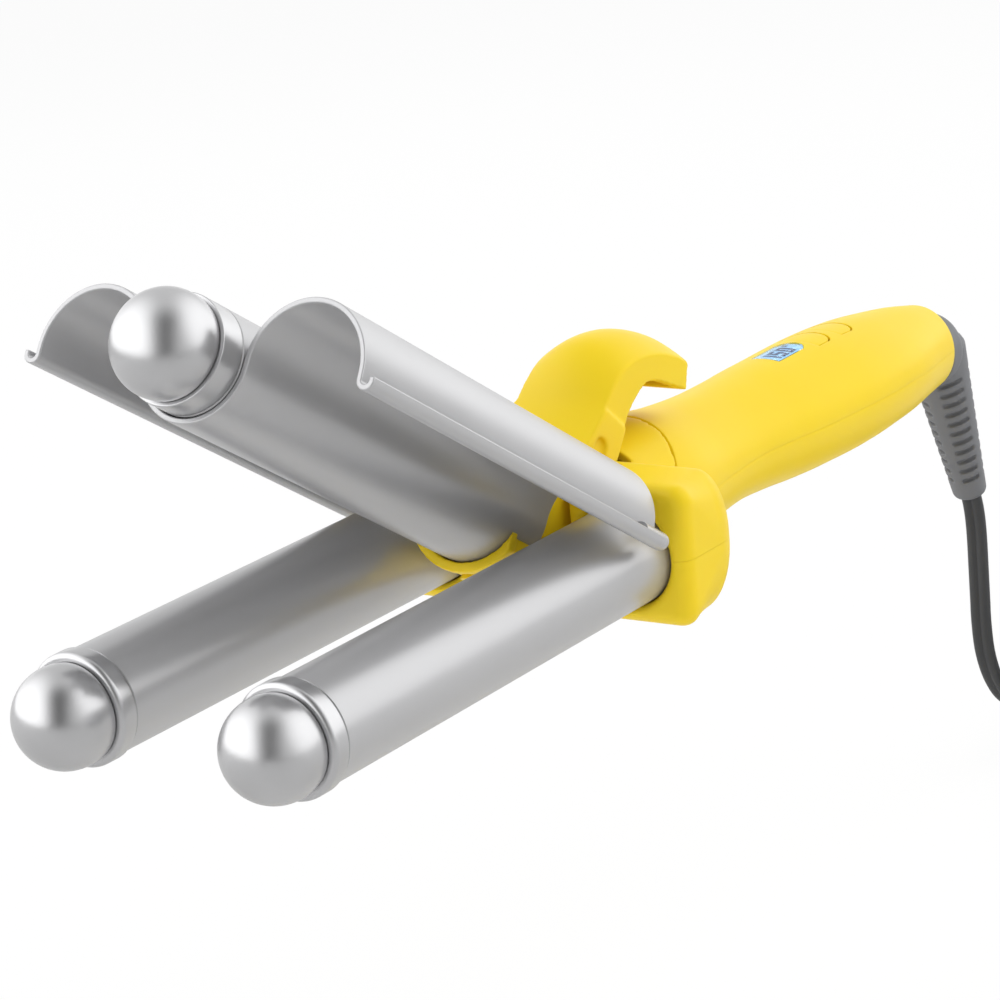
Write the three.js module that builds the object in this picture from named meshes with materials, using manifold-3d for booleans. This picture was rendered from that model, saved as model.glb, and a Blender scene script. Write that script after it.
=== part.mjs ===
// Hair waver with three one-inch barrels: two fixed ones and a sprung clamp that carries the third.
// Millimetres, +Z up. The origin is in the middle of the grip, on the plane of the fixed barrels'
// axes, and +Y runs along the handle to its tail. The clamp stands open, as a hand holds it.

import * as THREE from 'three';
import { mergeVertices } from 'three/addons/utils/BufferGeometryUtils.js';
import Module from 'manifold-3d';

// Clearances
const SEAT_GAP = 0.3;
const BORE_GAP = 0.5;
const RUN_GAP = 0.7;

// The three barrels and their tips
const BARREL_DIAMETER = 25.4;
const BARREL_WALL = 1.2;
const BARREL_PITCH = 57;
const TIP_RADIUS = 11.85;
const TIP_REAR = 3.2;
const SPIGOT_RADIUS = 9.6;
const SPIGOT_LENGTH = 9;
const COLLAR_RADIUS = 13.3;
const COLLAR_LENGTH = 4.8;
const COLLAR_ROUND = 1.4;
const COLLAR_PLUG = 6;
const BAND_RADIUS = 13.3;
const BAND_ROUND = 0.6;
const HEATER_ROOM = 4;
const HEATER_THICKNESS = 13;

// The wave plate, as drawn with the clamp closed
const SHEET = 1.3;
const SHEET_FRONT = 10.7;
const SHEET_LENGTH = 124.9;
const LEG_DROP = 1.5;
const HOOK_RADIUS = 1.6;
const HOOK_LIP = 0.8;
const ROD_RADIUS = 2.2;
const ROD_REACH = 4;

// The hinge of the clamp
const HINGE_Y = -150.95;
const HINGE_Z = 13.2;
const OPEN_ANGLE = 31.85;
const CLAMP_LEAD = 2;
const PIN_DIAMETER = 3;
const PIN_SEAT = 4.5;
const SPRING_WIRE = 1.2;
const SPRING_TURNS = 5;
const SPRING_LEG = 10;
const SPRING_TOP_LEG = 120;
const SPRING_FLOOR_LEG = 210;
const SPRING_ROOM = 5;

// The clamp lever, as drawn with the clamp closed, with every y counted from the hinge; a station
// holds the outer and inner edge of the hood as y and z, and the rise of its crown
const LEVER_WIDTH = 26;
const LEVER_WALL = 2.6;
const LEVER_STATIONS = [
  [-5.05, 21.5, 10.15, 19.5, 1],
  [-2.45, 27, 11.15, 25, 1.2],
  [0.15, 33.1, 11.35, 31.5, 1.8],
  [2.35, 39, 12.15, 36, 2.8],
  [5.25, 44.4, 13.75, 40, 4],
  [9.25, 48.4, 15.45, 43, 5.2],
  [14.55, 51.5, 17.75, 45.3, 5.5],
  [20.45, 53.8, 22.15, 46.9, 5.3],
  [27.35, 55.3, 28.15, 47.9, 5],
  [34.25, 55.7, 36.25, 49, 4.5],
];
const TAB_END = 2.4;
const EAR_FLARE = 0.8;
const EAR_THICKNESS = 4.2;
const EAR_RADIUS = 5.4;
const EAR_RECESS = { y: 1.55, z: 21.2, width: 5.4, length: 9.4, depth: 1.3 };
const ROOT_FRONT = -14.95;
const ROOT_PLUG = 10;
const ROOT_OUTLINE = [
  [-12.05, 14.3],
  [-9.05, 16],
  [-5.55, 19],
  [-2.55, 22.6],
  [0.45, 30],
  [3.45, 30],
  [0.45, 22],
  [-2.55, 18.5],
];
const CRADLE_FRONT = -28.05;
const CRADLE_WALL = 1.9;
const CRADLE_HALF_ANGLE = 53;
const CRADLE_RIM = 2.2;
const CRADLE_RIM_RISE = 0.6;
const CRADLE_TOP = -4;
const KEEL_RADIUS = 13.2;
const CLAMP_SCREW_PLACE = -20.05;
const CLAMP_SCREW_FLOOR = 1;

// The housing round the rear of the barrels, and its neck
const HOUSING_FRONT_Y = -162;
const HOUSING_REAR_Y = -135;
const HOUSING_WIDTH = 93.2;
const HOUSING_TOP = 18;
const HOUSING_BOTTOM = -17.2;
const HOUSING_FRONT_ROUND = 4.5;
const HOUSING_REAR_ROUND = [7, 10, 16.5];
const BARREL_SEAT = 16;
const BORE_MOUTH = 1.2;
const SLOT_REAR_Y = -132;
const SLOT_FLOOR = -14;
const NECK_WALL = 2.6;
const NECK_FRONT_Y = -139;
const SEAM_Y = -127.5;
const SEAM_LOWER_Y = -128;
const SEAM_SLOPE = 0.9;
const NECK_SPIGOT = 4;
const SPIGOT_WALL = 2;
const NECK_REAR_Y = -95;
const INSIDE_FRONT_Y = -110;

// The handle; a section holds its y, its radius and the height of its centre
const HANDLE_SECTIONS = [
  [-139, 20, 0],
  [-125, 20, 0],
  [-110, 19.9, 0],
  [-92, 17.6, 0],
  [-74, 16.3, 0],
  [-57, 16.6, -0.2],
  [-46, 17.4, -0.5],
  [-35, 18, -0.75],
  [-24, 18.4, -1],
  [-12, 18.7, -1.6],
  [0, 18.5, -2],
  [12, 18, -2.7],
  [24, 17, -3.1],
  [37, 15.9, -3.9],
];
const TAIL_Y = 52;
const TAIL_RADIUS = 15.3;
const TAIL_Z = -4.8;
const TAIL_WALL = 3;
const TAIL_ROUND = 1.8;
const RING_STEP = 13;
const HANDLE_SPREAD = 1.11;
const HANDLE_RISE = 0.965;
const HANDLE_WALL = 2.4;

// The display and the buttons on the handle
const WINDOW_Y = -30;
const WINDOW_WIDTH = 8.6;
const WINDOW_LENGTH = 17;
const WINDOW_THICKNESS = 1.2;
const BUTTON_WIDTH = 12.8;
const BUTTON_LENGTH = 9.6;
const BUTTON_BOW = 4.6;
const BUTTON_THICKNESS = 2.2;
const BUTTON_TRAVEL = 0.8;
const BUTTON_STEM = 3;
const TEMPERATURE_Y = -10;
const POWER_Y = 3;
const BOARD_WIDTH = 15;
const BOARD_FRONT_Y = -46;
const BOARD_REAR_Y = 12;
const BOARD_THICKNESS = 1.6;
const BOARD_Z = 4;
const SWITCH_SIZE = 6;
const SWITCH_HEIGHT = 3.4;

// The swivel at the tail and the strain relief on it
const STEM_RADIUS = 6.5;
const STEM_BORE = 3.8;
const FLANGE_RADIUS = 10;
const FLANGE_THICKNESS = 2.6;
const WASHER_THICKNESS = 1;
const HUB_RADIUS = 11.5;
const HUB_REACH = 5;
const DOME_RADIUS = 14.3;
const DOME_REACH = 13.6;
const BOOT_TOP_Y = 61.5;
const BOOT_TOP_Z = -6;
const BOOT_TIP_Y = 79.5;
const BOOT_TIP_Z = -55.5;
const BOOT_TOP_RADIUS = 9;
const BOOT_TIP_RADIUS = 5.1;
const BOOT_TIP_ROUND = 1.2;
const BOOT_SLOTS = 10;
const BOOT_SLOT_PITCH = 3.5;
const BOOT_SLOT_HEIGHT = 1.5;
const BOOT_SLOT_DEPTH = 1.7;
const BOOT_SLOT_END = 6.5;

// The flat twin cord, its coil on the surface below, the tie and the plug
const CORD_WIDTH = 6.5;
const CORD_HEIGHT = 3.6;
const FLOOR_Z = -151.3;
const COIL_LAYERS = 4;
const COIL_TURNS = 11;
const COIL_GAP = 0.6;
const COIL_INNER = 27;
const COIL_STEPS = 18;
const TIE_WIDTH = 9;
const TIE_THICKNESS = 1;
const PLUG_WIDTH = 24;
const PLUG_HEIGHT = 15;
const PLUG_LENGTH = 28;
const PLUG_RELIEF = 22;
const BLADE_PITCH = 12.7;
const BLADE_WIDTH = 6.35;
const BLADE_THICKNESS = 1.5;
const BLADE_LENGTH = 15.9;
const BLADE_SEAT = 6;
const BLADE_HOLE = 3.2;
const BLADE_HOLE_REACH = 11.9;
const PLUG_RIBS = 4;
const PLUG_RIB_HEIGHT = 0.6;
const PLUG_TAPER = 0.45;

// The screws that hold the shells together
const SCREW_DIAMETER = 3;
const SCREW_HEAD = 5.6;
const SCREW_HEAD_HEIGHT = 1.8;
const SCREW_DEPTH = 9;
const SCREW_WELL = 12;
const BOSS_RADIUS = 4.2;
const HOUSING_SCREW_INSET = 15.6;
const HOUSING_SCREW_Y = -141.5;
const HANDLE_SCREWS_Y = [-84, 30];

const BARREL_RADIUS = BARREL_DIAMETER / 2;
const BORE_RADIUS = BARREL_RADIUS - BARREL_WALL;
const BARREL_X = BARREL_PITCH / 2;
const TROUGH_RADIUS = BARREL_RADIUS + SEAT_GAP + SHEET / 2;
const ARCH_RADIUS = BARREL_X - TROUGH_RADIUS;
const CRADLE_INNER = TROUGH_RADIUS + SHEET / 2 + SEAT_GAP;
const HALF_LEVER = LEVER_WIDTH / 2;
const HALF_EAR = HALF_LEVER + EAR_FLARE;
const HALF_SLOT = HALF_EAR + RUN_GAP;
const HOUSING_SCREW_X = HOUSING_WIDTH / 2 - HOUSING_SCREW_INSET;
const ROUND_STEPS = 24;
const SMALL_STEPS = 16;

// The wave plate ends just ahead of the lever's root, and the tips stand ahead of the plate
const CLAMP_HINGE_Y = HINGE_Y + CLAMP_LEAD;
const TIP_Y = CLAMP_HINGE_Y + ROOT_FRONT - BORE_GAP - SHEET_LENGTH - SHEET_FRONT;

// A block that holds the whole object, for cutting away everything beyond a plane
const BEYOND = { x: 80, front: -260, rear: 120, z: 60 };

const wasm = await Module();
wasm.setup();

// A closed three.js geometry as a solid that can be joined and cut
function solid(geometry) {
  const bare = geometry.index ? geometry.toNonIndexed() : geometry.clone();
  bare.deleteAttribute('normal');
  bare.deleteAttribute('uv');
  const merged = mergeVertices(bare, 1e-4);
  const points = merged.attributes.position.array;
  const corners = merged.index.array;
  const kept = [];
  let volume = 0;
  for (let i = 0; i < corners.length; i += 3) {
    const [a, b, c] = [corners[i], corners[i + 1], corners[i + 2]];
    if (a === b || b === c || c === a) continue;
    kept.push(a, b, c);
    const [p, q, r] = [a, b, c].map((n) => new THREE.Vector3().fromArray(points, 3 * n));
    volume += p.dot(q.cross(r));
  }
  if (volume < 0) kept.reverse();
  const mesh = new wasm.Mesh({
    numProp: 3,
    vertProperties: new Float32Array(points),
    triVerts: new Uint32Array(kept),
  });
  return new wasm.Manifold(mesh);
}

const join = (first, ...rest) => rest.reduce((whole, next) => whole.add(next), first);
const cut = (first, ...rest) => rest.reduce((whole, next) => whole.subtract(next), first);

function geometryOf(manifold) {
  const mesh = manifold.getMesh();
  const geometry = new THREE.BufferGeometry();
  geometry.setAttribute('position', new THREE.BufferAttribute(mesh.vertProperties.slice(), 3));
  geometry.setIndex(new THREE.BufferAttribute(mesh.triVerts.slice(), 1));
  return geometry;
}

function box(x0, x1, y0, y1, z0, z1) {
  const geometry = new THREE.BoxGeometry(x1 - x0, y1 - y0, z1 - z0);
  geometry.translate((x0 + x1) / 2, (y0 + y1) / 2, (z0 + z1) / 2);
  return solid(geometry);
}

// A turned piece about a line along Y through (x, z); the profile is a list of [radius, y]
function turned(profile, x = 0, z = 0, steps = ROUND_STEPS) {
  const points = profile.map(([r, y]) => new THREE.Vector2(r, y));
  const onAxis = profile[0][0] === 0 && profile[profile.length - 1][0] === 0;
  if (!onAxis) points.push(points[0].clone());
  const geometry = new THREE.LatheGeometry(points, steps);
  geometry.translate(x, 0, z);
  return solid(geometry);
}

const rod = (radius, y0, y1, x = 0, z = 0, steps = ROUND_STEPS) =>
  turned([[0, y0], [radius, y0], [radius, y1], [0, y1]], x, z, steps);

// A cylinder along X through (y, z)
function crossRod(radius, x0, x1, y, z, steps = 24) {
  const geometry = new THREE.CylinderGeometry(radius, radius, x1 - x0, steps);
  geometry.rotateZ(Math.PI / 2);
  geometry.translate((x0 + x1) / 2, y, z);
  return solid(geometry);
}

// An upright cylinder at (x, y)
function upright(radius, x, y, z0, z1, steps = 20) {
  const geometry = new THREE.CylinderGeometry(radius, radius, z1 - z0, steps);
  geometry.rotateX(Math.PI / 2);
  geometry.translate(x, y, (z0 + z1) / 2);
  return solid(geometry);
}

// A side outline of [y, z] points, as wide as x0 to x1
function sideOutline(outline, x0, x1) {
  const shape = new THREE.Shape(outline.map(([y, z]) => new THREE.Vector2(y, z)));
  const geometry = new THREE.ExtrudeGeometry(shape, { depth: x1 - x0, bevelEnabled: false });
  const turn = new THREE.Matrix4().makeBasis(
    new THREE.Vector3(0, 1, 0),
    new THREE.Vector3(0, 0, 1),
    new THREE.Vector3(1, 0, 0),
  );
  geometry.applyMatrix4(turn);
  geometry.translate(x0, 0, 0);
  return solid(geometry);
}

// A front outline of [x, z] points, from y0 to y1
function frontOutline(outline, y0, y1) {
  const shape = new THREE.Shape(outline.map(([x, z]) => new THREE.Vector2(x, z)));
  const geometry = new THREE.ExtrudeGeometry(shape, { depth: y1 - y0, bevelEnabled: false });
  geometry.rotateX(Math.PI / 2);
  geometry.translate(0, y1, 0);
  return solid(geometry);
}

// A plan outline of [x, y] points, from z0 to z1
function planOutline(outline, z0, z1) {
  const shape = new THREE.Shape(outline.map(([x, y]) => new THREE.Vector2(x, y)));
  const geometry = new THREE.ExtrudeGeometry(shape, { depth: z1 - z0, bevelEnabled: false });
  geometry.translate(0, 0, z0);
  return solid(geometry);
}

// Points of an arc about (cx, cz), from one angle to another in degrees
function arc(cx, cz, radius, from, to, steps) {
  const points = [];
  for (let i = 0; i <= steps; i += 1) {
    const angle = THREE.MathUtils.degToRad(from + ((to - from) * i) / steps);
    points.push([cx + radius * Math.cos(angle), cz + radius * Math.sin(angle)]);
  }
  return points;
}

// Triangles of a flat ring of points, turning the way that the ring does
function ringFace(ring) {
  const normal = new THREE.Vector3();
  ring.forEach((p, i) => normal.add(new THREE.Vector3().crossVectors(p, ring[(i + 1) % ring.length])));
  normal.normalize();
  const across = new THREE.Vector3().subVectors(ring[1], ring[0]).normalize();
  const up = new THREE.Vector3().crossVectors(normal, across);
  const flat = ring.map((p) => new THREE.Vector2(p.dot(across), p.dot(up)));
  return THREE.ShapeUtils.triangulateShape(flat, []);
}

// A skin through rings of equal count, with flat ends
function loft(rings) {
  const count = rings[0].length;
  const points = rings.flat();
  const corners = [];
  for (let k = 0; k + 1 < rings.length; k += 1) {
    for (let i = 0; i < count; i += 1) {
      const a = k * count + i;
      const b = k * count + ((i + 1) % count);
      corners.push(a, b, a + count, b, b + count, a + count);
    }
  }
  const last = (rings.length - 1) * count;
  ringFace(rings[0]).forEach(([a, b, c]) => corners.push(c, b, a));
  ringFace(rings.at(-1)).forEach(([a, b, c]) => corners.push(last + a, last + b, last + c));
  const geometry = new THREE.BufferGeometry();
  const places = points.flatMap((p) => p.toArray());
  geometry.setAttribute('position', new THREE.Float32BufferAttribute(places, 3));
  geometry.setIndex(corners);
  return solid(geometry);
}

// A value read from a smooth line through [position, value] pairs
function smooth(pairs, at) {
  const last = pairs.length - 1;
  let i = pairs.findIndex(([position]) => position > at) - 1;
  if (i < -1 || at >= pairs[last][0]) i = last - 1;
  i = Math.max(i, 0);
  const slope = (n) => {
    const [before, after] = [pairs[Math.max(n - 1, 0)], pairs[Math.min(n + 1, last)]];
    return (after[1] - before[1]) / (after[0] - before[0]);
  };
  const [[p0, v0], [p1, v1]] = [pairs[i], pairs[i + 1]];
  const t = (at - p0) / (p1 - p0);
  const run = p1 - p0;
  return (
    v0 * (1 + 2 * t) * (1 - t) ** 2 +
    run * slope(i) * t * (1 - t) ** 2 +
    v1 * t * t * (3 - 2 * t) +
    run * slope(i + 1) * t * t * (t - 1)
  );
}

// Finishes
const finish = (name, color, roughness, metalness = 0) => {
  const material = new THREE.MeshStandardMaterial({ color, roughness, metalness });
  material.name = name;
  return material;
};
const YELLOW = finish('yellow_plastic', 0xf7d02c, 0.35);
const SILVER = finish('barrel_coating', 0xb4b5b8, 0.35, 0.6);
const CAP_SILVER = finish('tip_paint', 0xa9aaad, 0.45, 0.5);
const GREY_RUBBER = finish('grey_rubber', 0x6b6c70, 0.7);
const STEEL = finish('steel', 0x8d9094, 0.3, 0.9);
const ALUMINIUM = finish('aluminium', 0xa0a3a6, 0.5, 0.8);
const CLEAR = finish('window_clear', 0xcfe6f2, 0.1);
const DISPLAY = finish('display', 0xa9d8ef, 0.4);
const BOARD_GREEN = finish('board', 0x1f5a34, 0.6);
const DARK = finish('dark_plastic', 0x2c2d30, 0.6);
const BRASS = finish('brass', 0xc9a24a, 0.35, 0.9);

const waver = new THREE.Group();
waver.name = 'hair_waver';

function piece(name, manifold, material, parent = waver) {
  const mesh = new THREE.Mesh(geometryOf(manifold), material);
  mesh.name = name;
  parent.add(mesh);
  return mesh;
}

// Everything that the clamp carries is drawn with the clamp closed and turned about the hinge
const clamp = new THREE.Group();
clamp.position.set(0, HINGE_Y, HINGE_Z);
clamp.rotation.x = -THREE.MathUtils.degToRad(OPEN_ANGLE);
const clampPieces = new THREE.Group();
clampPieces.position.set(0, -HINGE_Y - CLAMP_LEAD, -HINGE_Z);
clamp.add(clampPieces);
waver.add(clamp);

// Barrels: thin coated tubes. A barrel's y counts from the centre of its domed tip.
function barrel(x, ringLength, rear) {
  const front = TIP_Y + TIP_REAR + 2 * SEAT_GAP + ringLength;
  const section = [[BORE_RADIUS, front], [BARREL_RADIUS, front], [BARREL_RADIUS, rear], [BORE_RADIUS, rear]];
  return turned(section, x);
}

// A domed tip with the spigot that holds it in the barrel
function tip(x) {
  const rearRadius = Math.sqrt(TIP_RADIUS ** 2 - TIP_REAR ** 2);
  const to = THREE.MathUtils.radToDeg(Math.atan2(TIP_REAR, rearRadius));
  const dome = arc(0, 0, TIP_RADIUS, -90, to, 7).map(([r, y]) => [Math.max(r, 0), TIP_Y + y]);
  dome[0][0] = 0;
  const spigotEnd = TIP_Y + TIP_REAR + SPIGOT_LENGTH;
  return turned([...dome, [SPIGOT_RADIUS, TIP_Y + TIP_REAR], [SPIGOT_RADIUS, spigotEnd], [0, spigotEnd]], x);
}

// A ring between the dome and the barrel, with a plug that fits in the barrel's bore
function collar(x, outer, length, round) {
  const front = TIP_Y + TIP_REAR + SEAT_GAP;
  const plug = BORE_RADIUS - SEAT_GAP;
  const inner = SPIGOT_RADIUS + SEAT_GAP;
  const corner = arc(outer - round, front + round, round, -90, 0, 3);
  return turned(
    [
      [inner, front],
      ...corner,
      [outer, front + length],
      [plug, front + length],
      [plug, front + length + COLLAR_PLUG],
      [inner, front + length + COLLAR_PLUG],
    ],
    x,
  );
}

// A heater: two aluminium half-rounds pressed on a flat ceramic bar, seen here as one block
function heater(x, front) {
  const radius = BORE_RADIUS - SEAT_GAP;
  const reach = THREE.MathUtils.radToDeg(Math.asin(HEATER_THICKNESS / 2 / radius));
  const outline = [...arc(x, 0, radius, -reach, reach, 8), ...arc(x, 0, radius, 180 - reach, 180 + reach, 8)];
  return frontOutline(outline, front, rootFront - ROOT_PLUG - HEATER_ROOM);
}

const rootFront = CLAMP_HINGE_Y + ROOT_FRONT;
const bandLength = SHEET_FRONT - TIP_REAR - 2 * SEAT_GAP;
const heaterFront = TIP_Y + TIP_REAR + bandLength + COLLAR_PLUG + HEATER_ROOM;
const seatY = HOUSING_FRONT_Y + BARREL_SEAT;
for (const [side, x] of [['left', -BARREL_X], ['right', BARREL_X]]) {
  piece(`barrel_${side}`, barrel(x, COLLAR_LENGTH, seatY), SILVER);
  piece(`collar_${side}`, collar(x, COLLAR_RADIUS, COLLAR_LENGTH, COLLAR_ROUND), CAP_SILVER);
  piece(`tip_${side}`, tip(x), CAP_SILVER);
  piece(`heater_${side}`, heater(x, heaterFront), ALUMINIUM);
}

// The middle barrel ends against the lever's root
piece('band_centre', collar(0, BAND_RADIUS, bandLength, BAND_ROUND), CAP_SILVER, clampPieces);
piece('tip_centre', tip(0), CAP_SILVER, clampPieces);
piece('heater_centre', heater(0, heaterFront), ALUMINIUM, clampPieces);

// The wave plate: one sheet that troughs under the middle barrel, arches over the fixed ones and
// rolls up into a hook along each outer edge; a rod in each hook runs on past the sheet
function wavePlate() {
  const legX = BARREL_X + ARCH_RADIUS;
  const half = (offset) => [
    ...arc(0, 0, TROUGH_RADIUS + offset, -90, 0, 8),
    ...arc(BARREL_X, 0, ARCH_RADIUS - offset, 180, 0, 16).slice(1, -1),
    [legX - offset, 0],
    ...arc(legX + HOOK_RADIUS, -LEG_DROP, HOOK_RADIUS + offset, 180, 360, 6),
    [legX + 2 * HOOK_RADIUS + offset, -LEG_DROP + HOOK_LIP],
  ];
  const mirror = (points) => points.map(([x, z]) => [-x, z]).reverse();
  const under = half(SHEET / 2);
  const over = half(-SHEET / 2);
  const outline = [...mirror(under).slice(0, -1), ...under, ...over.reverse(), ...mirror(over).slice(1)];
  const front = TIP_Y + SHEET_FRONT;
  const rear = front + SHEET_LENGTH;
  const sheet = frontOutline(outline, front, rear);
  const rods = [-1, 1].map((side) => {
    const [x, z] = [side * (legX + HOOK_RADIUS), -LEG_DROP];
    const end = rear + ROD_REACH;
    const nose = arc(0, end - ROD_RADIUS, ROD_RADIUS, 0, 90, 5);
    nose[5][0] = 0;
    return turned([[0, rear - 8], [ROD_RADIUS, rear - 8], ...nose], x, z, 12);
  });
  return join(sheet, ...rods);
}

// The clamp lever: a hood with a hollow back, two ears on the hinge pin, a root that closes the
// middle barrel, and a cradle under the trough of the wave plate
const hingeInClamp = { y: CLAMP_HINGE_Y, z: HINGE_Z };

function hoodRing([outerY, outerZ, innerY, innerZ, rise], wall) {
  const out = new THREE.Vector3(0, outerY - innerY, outerZ - innerZ).normalize();
  const side = (halfWidth, down) => {
    const points = [new THREE.Vector3(-halfWidth, CLAMP_HINGE_Y + innerY, innerZ)];
    const steps = 8;
    for (let i = 0; i <= steps; i += 1) {
      const x = halfWidth * ((2 * i) / steps - 1);
      const lift = rise * (1 - (x / HALF_LEVER) ** 2) - down;
      points.push(new THREE.Vector3(x, CLAMP_HINGE_Y + outerY + out.y * lift, outerZ + out.z * lift));
    }
    points.push(new THREE.Vector3(halfWidth, CLAMP_HINGE_Y + innerY, innerZ));
    return points;
  };
  if (wall === 0) return side(HALF_LEVER, 0);
  return [...side(HALF_LEVER, 0), ...side(HALF_LEVER - wall, wall).reverse()];
}

function leverHood() {
  const hood = loft(LEVER_STATIONS.map((station) => hoodRing(station, LEVER_WALL)));
  const [before, tab] = LEVER_STATIONS.slice(-2);
  const share = TAB_END / (tab[0] - before[0]);
  const lipStart = tab.map((value, i) => value + (before[i] - value) * share);
  return join(hood, loft([hoodRing(lipStart, 0), hoodRing(tab, 0)]));
}

// A half-round sector under the middle barrel, flat on top
function sector(radius, place) {
  const points = arc(0, 0, radius, -90 - CRADLE_HALF_ANGLE, -90 + CRADLE_HALF_ANGLE, 12);
  const [first, last] = [points[0], points.at(-1)];
  const outline = [[first[0], CRADLE_TOP], ...points, [last[0], CRADLE_TOP]];
  return outline.map(([x, z]) => new THREE.Vector3(x, CLAMP_HINGE_Y + place, z));
}

function clampLever() {
  const { y, z } = hingeInClamp;
  const first = LEVER_STATIONS[0];
  const ear = [
    [y + first[0], first[1]],
    ...arc(y, z, EAR_RADIUS, 170, 350, 12),
    [y + first[2], first[3]],
    [y + LEVER_STATIONS[2][2], LEVER_STATIONS[2][3]],
    [y + LEVER_STATIONS[2][0], LEVER_STATIONS[2][1]],
  ];
  const ears = [-1, 1].map((side) => {
    const inside = side * (HALF_EAR - EAR_THICKNESS);
    const outside = side * HALF_EAR;
    return sideOutline(ear, Math.min(inside, outside), Math.max(inside, outside));
  });
  const low = -KEEL_RADIUS;
  const rear = y - EAR_RADIUS - RUN_GAP;
  const frontEdge = [[ROOT_FRONT, low], [ROOT_FRONT, BARREL_RADIUS + SEAT_GAP], ...ROOT_OUTLINE]
    .map(([place, height]) => [y + place, height]);
  const underEar = z - EAR_RADIUS - RUN_GAP;
  const rootEdge = [...frontEdge, [rear, z], [rear + 3, underEar], [y, low]];
  const root = sideOutline(rootEdge, -HALF_LEVER, HALF_LEVER);
  const plug = rod(BORE_RADIUS - SEAT_GAP, rootFront - ROOT_PLUG, rootFront + 1);
  const outer = CRADLE_INNER + CRADLE_WALL;
  const rings = [
    sector(outer + CRADLE_RIM_RISE, CRADLE_FRONT),
    sector(outer + CRADLE_RIM_RISE, CRADLE_FRONT + CRADLE_RIM),
    sector(outer, CRADLE_FRONT + CRADLE_RIM + 1),
    sector(outer, ROOT_FRONT),
    sector(KEEL_RADIUS, ROOT_FRONT + outer - KEEL_RADIUS),
    sector(KEEL_RADIUS, 0),
  ];
  const hollow = rod(CRADLE_INNER, y + CRADLE_FRONT - 1, rootFront, 0, 0);
  const cradle = cut(loft(rings), hollow);
  const springRoom = crossRod(SPRING_ROOM, -HALF_EAR + EAR_THICKNESS, HALF_EAR - EAR_THICKNESS, y, z);
  const pinHole = crossRod(PIN_DIAMETER / 2 + SEAT_GAP, -HALF_EAR - 1, HALF_EAR + 1, y, z, 16);
  const { length, width, depth } = EAR_RECESS;
  const pill = [
    ...arc(y + EAR_RECESS.y, EAR_RECESS.z + (length - width) / 2, width / 2, 0, 180, 6),
    ...arc(y + EAR_RECESS.y, EAR_RECESS.z - (length - width) / 2, width / 2, 180, 360, 6),
  ];
  const recesses = [-1, 1].map((side) => {
    const [inside, outside] = [side * (HALF_EAR - depth), side * (HALF_EAR + 1)];
    return sideOutline(pill, Math.min(inside, outside), Math.max(inside, outside));
  });
  const screwHole = clampScrewHole();
  const body = join(leverHood(), ...ears, root, plug, cradle);
  return cut(body, springRoom, pinHole, ...recesses, screwHole);
}

// A screw driven upward: its head lies below, and its shank reaches up from the seat
function screwUp(x, y, seat, length) {
  const head = upright(SCREW_HEAD / 2, x, y, seat - SCREW_HEAD_HEIGHT, seat, 18);
  return join(head, upright(SCREW_DIAMETER / 2, x, y, seat - 0.2, seat + length, 12));
}

function screwUpHole(x, y, seat, length, depthBelow) {
  const well = upright(SCREW_HEAD / 2 + SEAT_GAP, x, y, seat - depthBelow, seat + SEAT_GAP, 18);
  const shank = SCREW_DIAMETER / 2 + SEAT_GAP;
  return join(well, upright(shank, x, y, seat, seat + length + SEAT_GAP, 12));
}

// The clamp screw ties the cradle, the plate, the middle barrel and the root together
const clampScrewSeat = -CRADLE_INNER - CLAMP_SCREW_FLOOR;
const clampScrewY = CLAMP_HINGE_Y + CLAMP_SCREW_PLACE;

function clampScrewHole() {
  return screwUpHole(0, clampScrewY, clampScrewSeat, SCREW_DEPTH, SCREW_HEAD_HEIGHT + 2);
}

const carried = [
  ['wave_plate', wavePlate(), SILVER],
  ['barrel_centre', barrel(0, bandLength, rootFront - SEAT_GAP), SILVER],
];
for (const [name, whole, material] of carried) {
  piece(name, cut(whole, clampScrewHole()), material, clampPieces);
}
piece('clamp_lever', clampLever(), YELLOW, clampPieces);
piece('clamp_screw', screwUp(0, clampScrewY, clampScrewSeat, SCREW_DEPTH), STEEL, clampPieces);

// The hinge pin lies in blind seats in the walls of the slot, with the torsion spring round it
const pinEnd = HALF_SLOT + PIN_SEAT;
const pinReach = pinEnd - SEAT_GAP;
piece('hinge_pin', crossRod(PIN_DIAMETER / 2, -pinReach, pinReach, HINGE_Y, HINGE_Z, 16), STEEL);

// A tube with a section of half width a and half height b along a list of points; `wide` gives
// the direction of its width at each point
function tube(points, a, b, sides, wide) {
  const rings = points.map((p, i) => {
    const before = points[Math.max(i - 1, 0)];
    const after = points[Math.min(i + 1, points.length - 1)];
    const along = new THREE.Vector3().subVectors(after, before).normalize();
    const across = wide(i).clone();
    across.addScaledVector(along, -across.dot(along)).normalize();
    const up = new THREE.Vector3().crossVectors(across, along);
    const ring = [];
    for (let n = 0; n < sides; n += 1) {
      const angle = (2 * Math.PI * n) / sides;
      const corner = p.clone().addScaledVector(across, a * Math.cos(angle));
      ring.push(corner.addScaledVector(up, b * Math.sin(angle)));
    }
    return ring;
  });
  return loft(rings);
}

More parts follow.
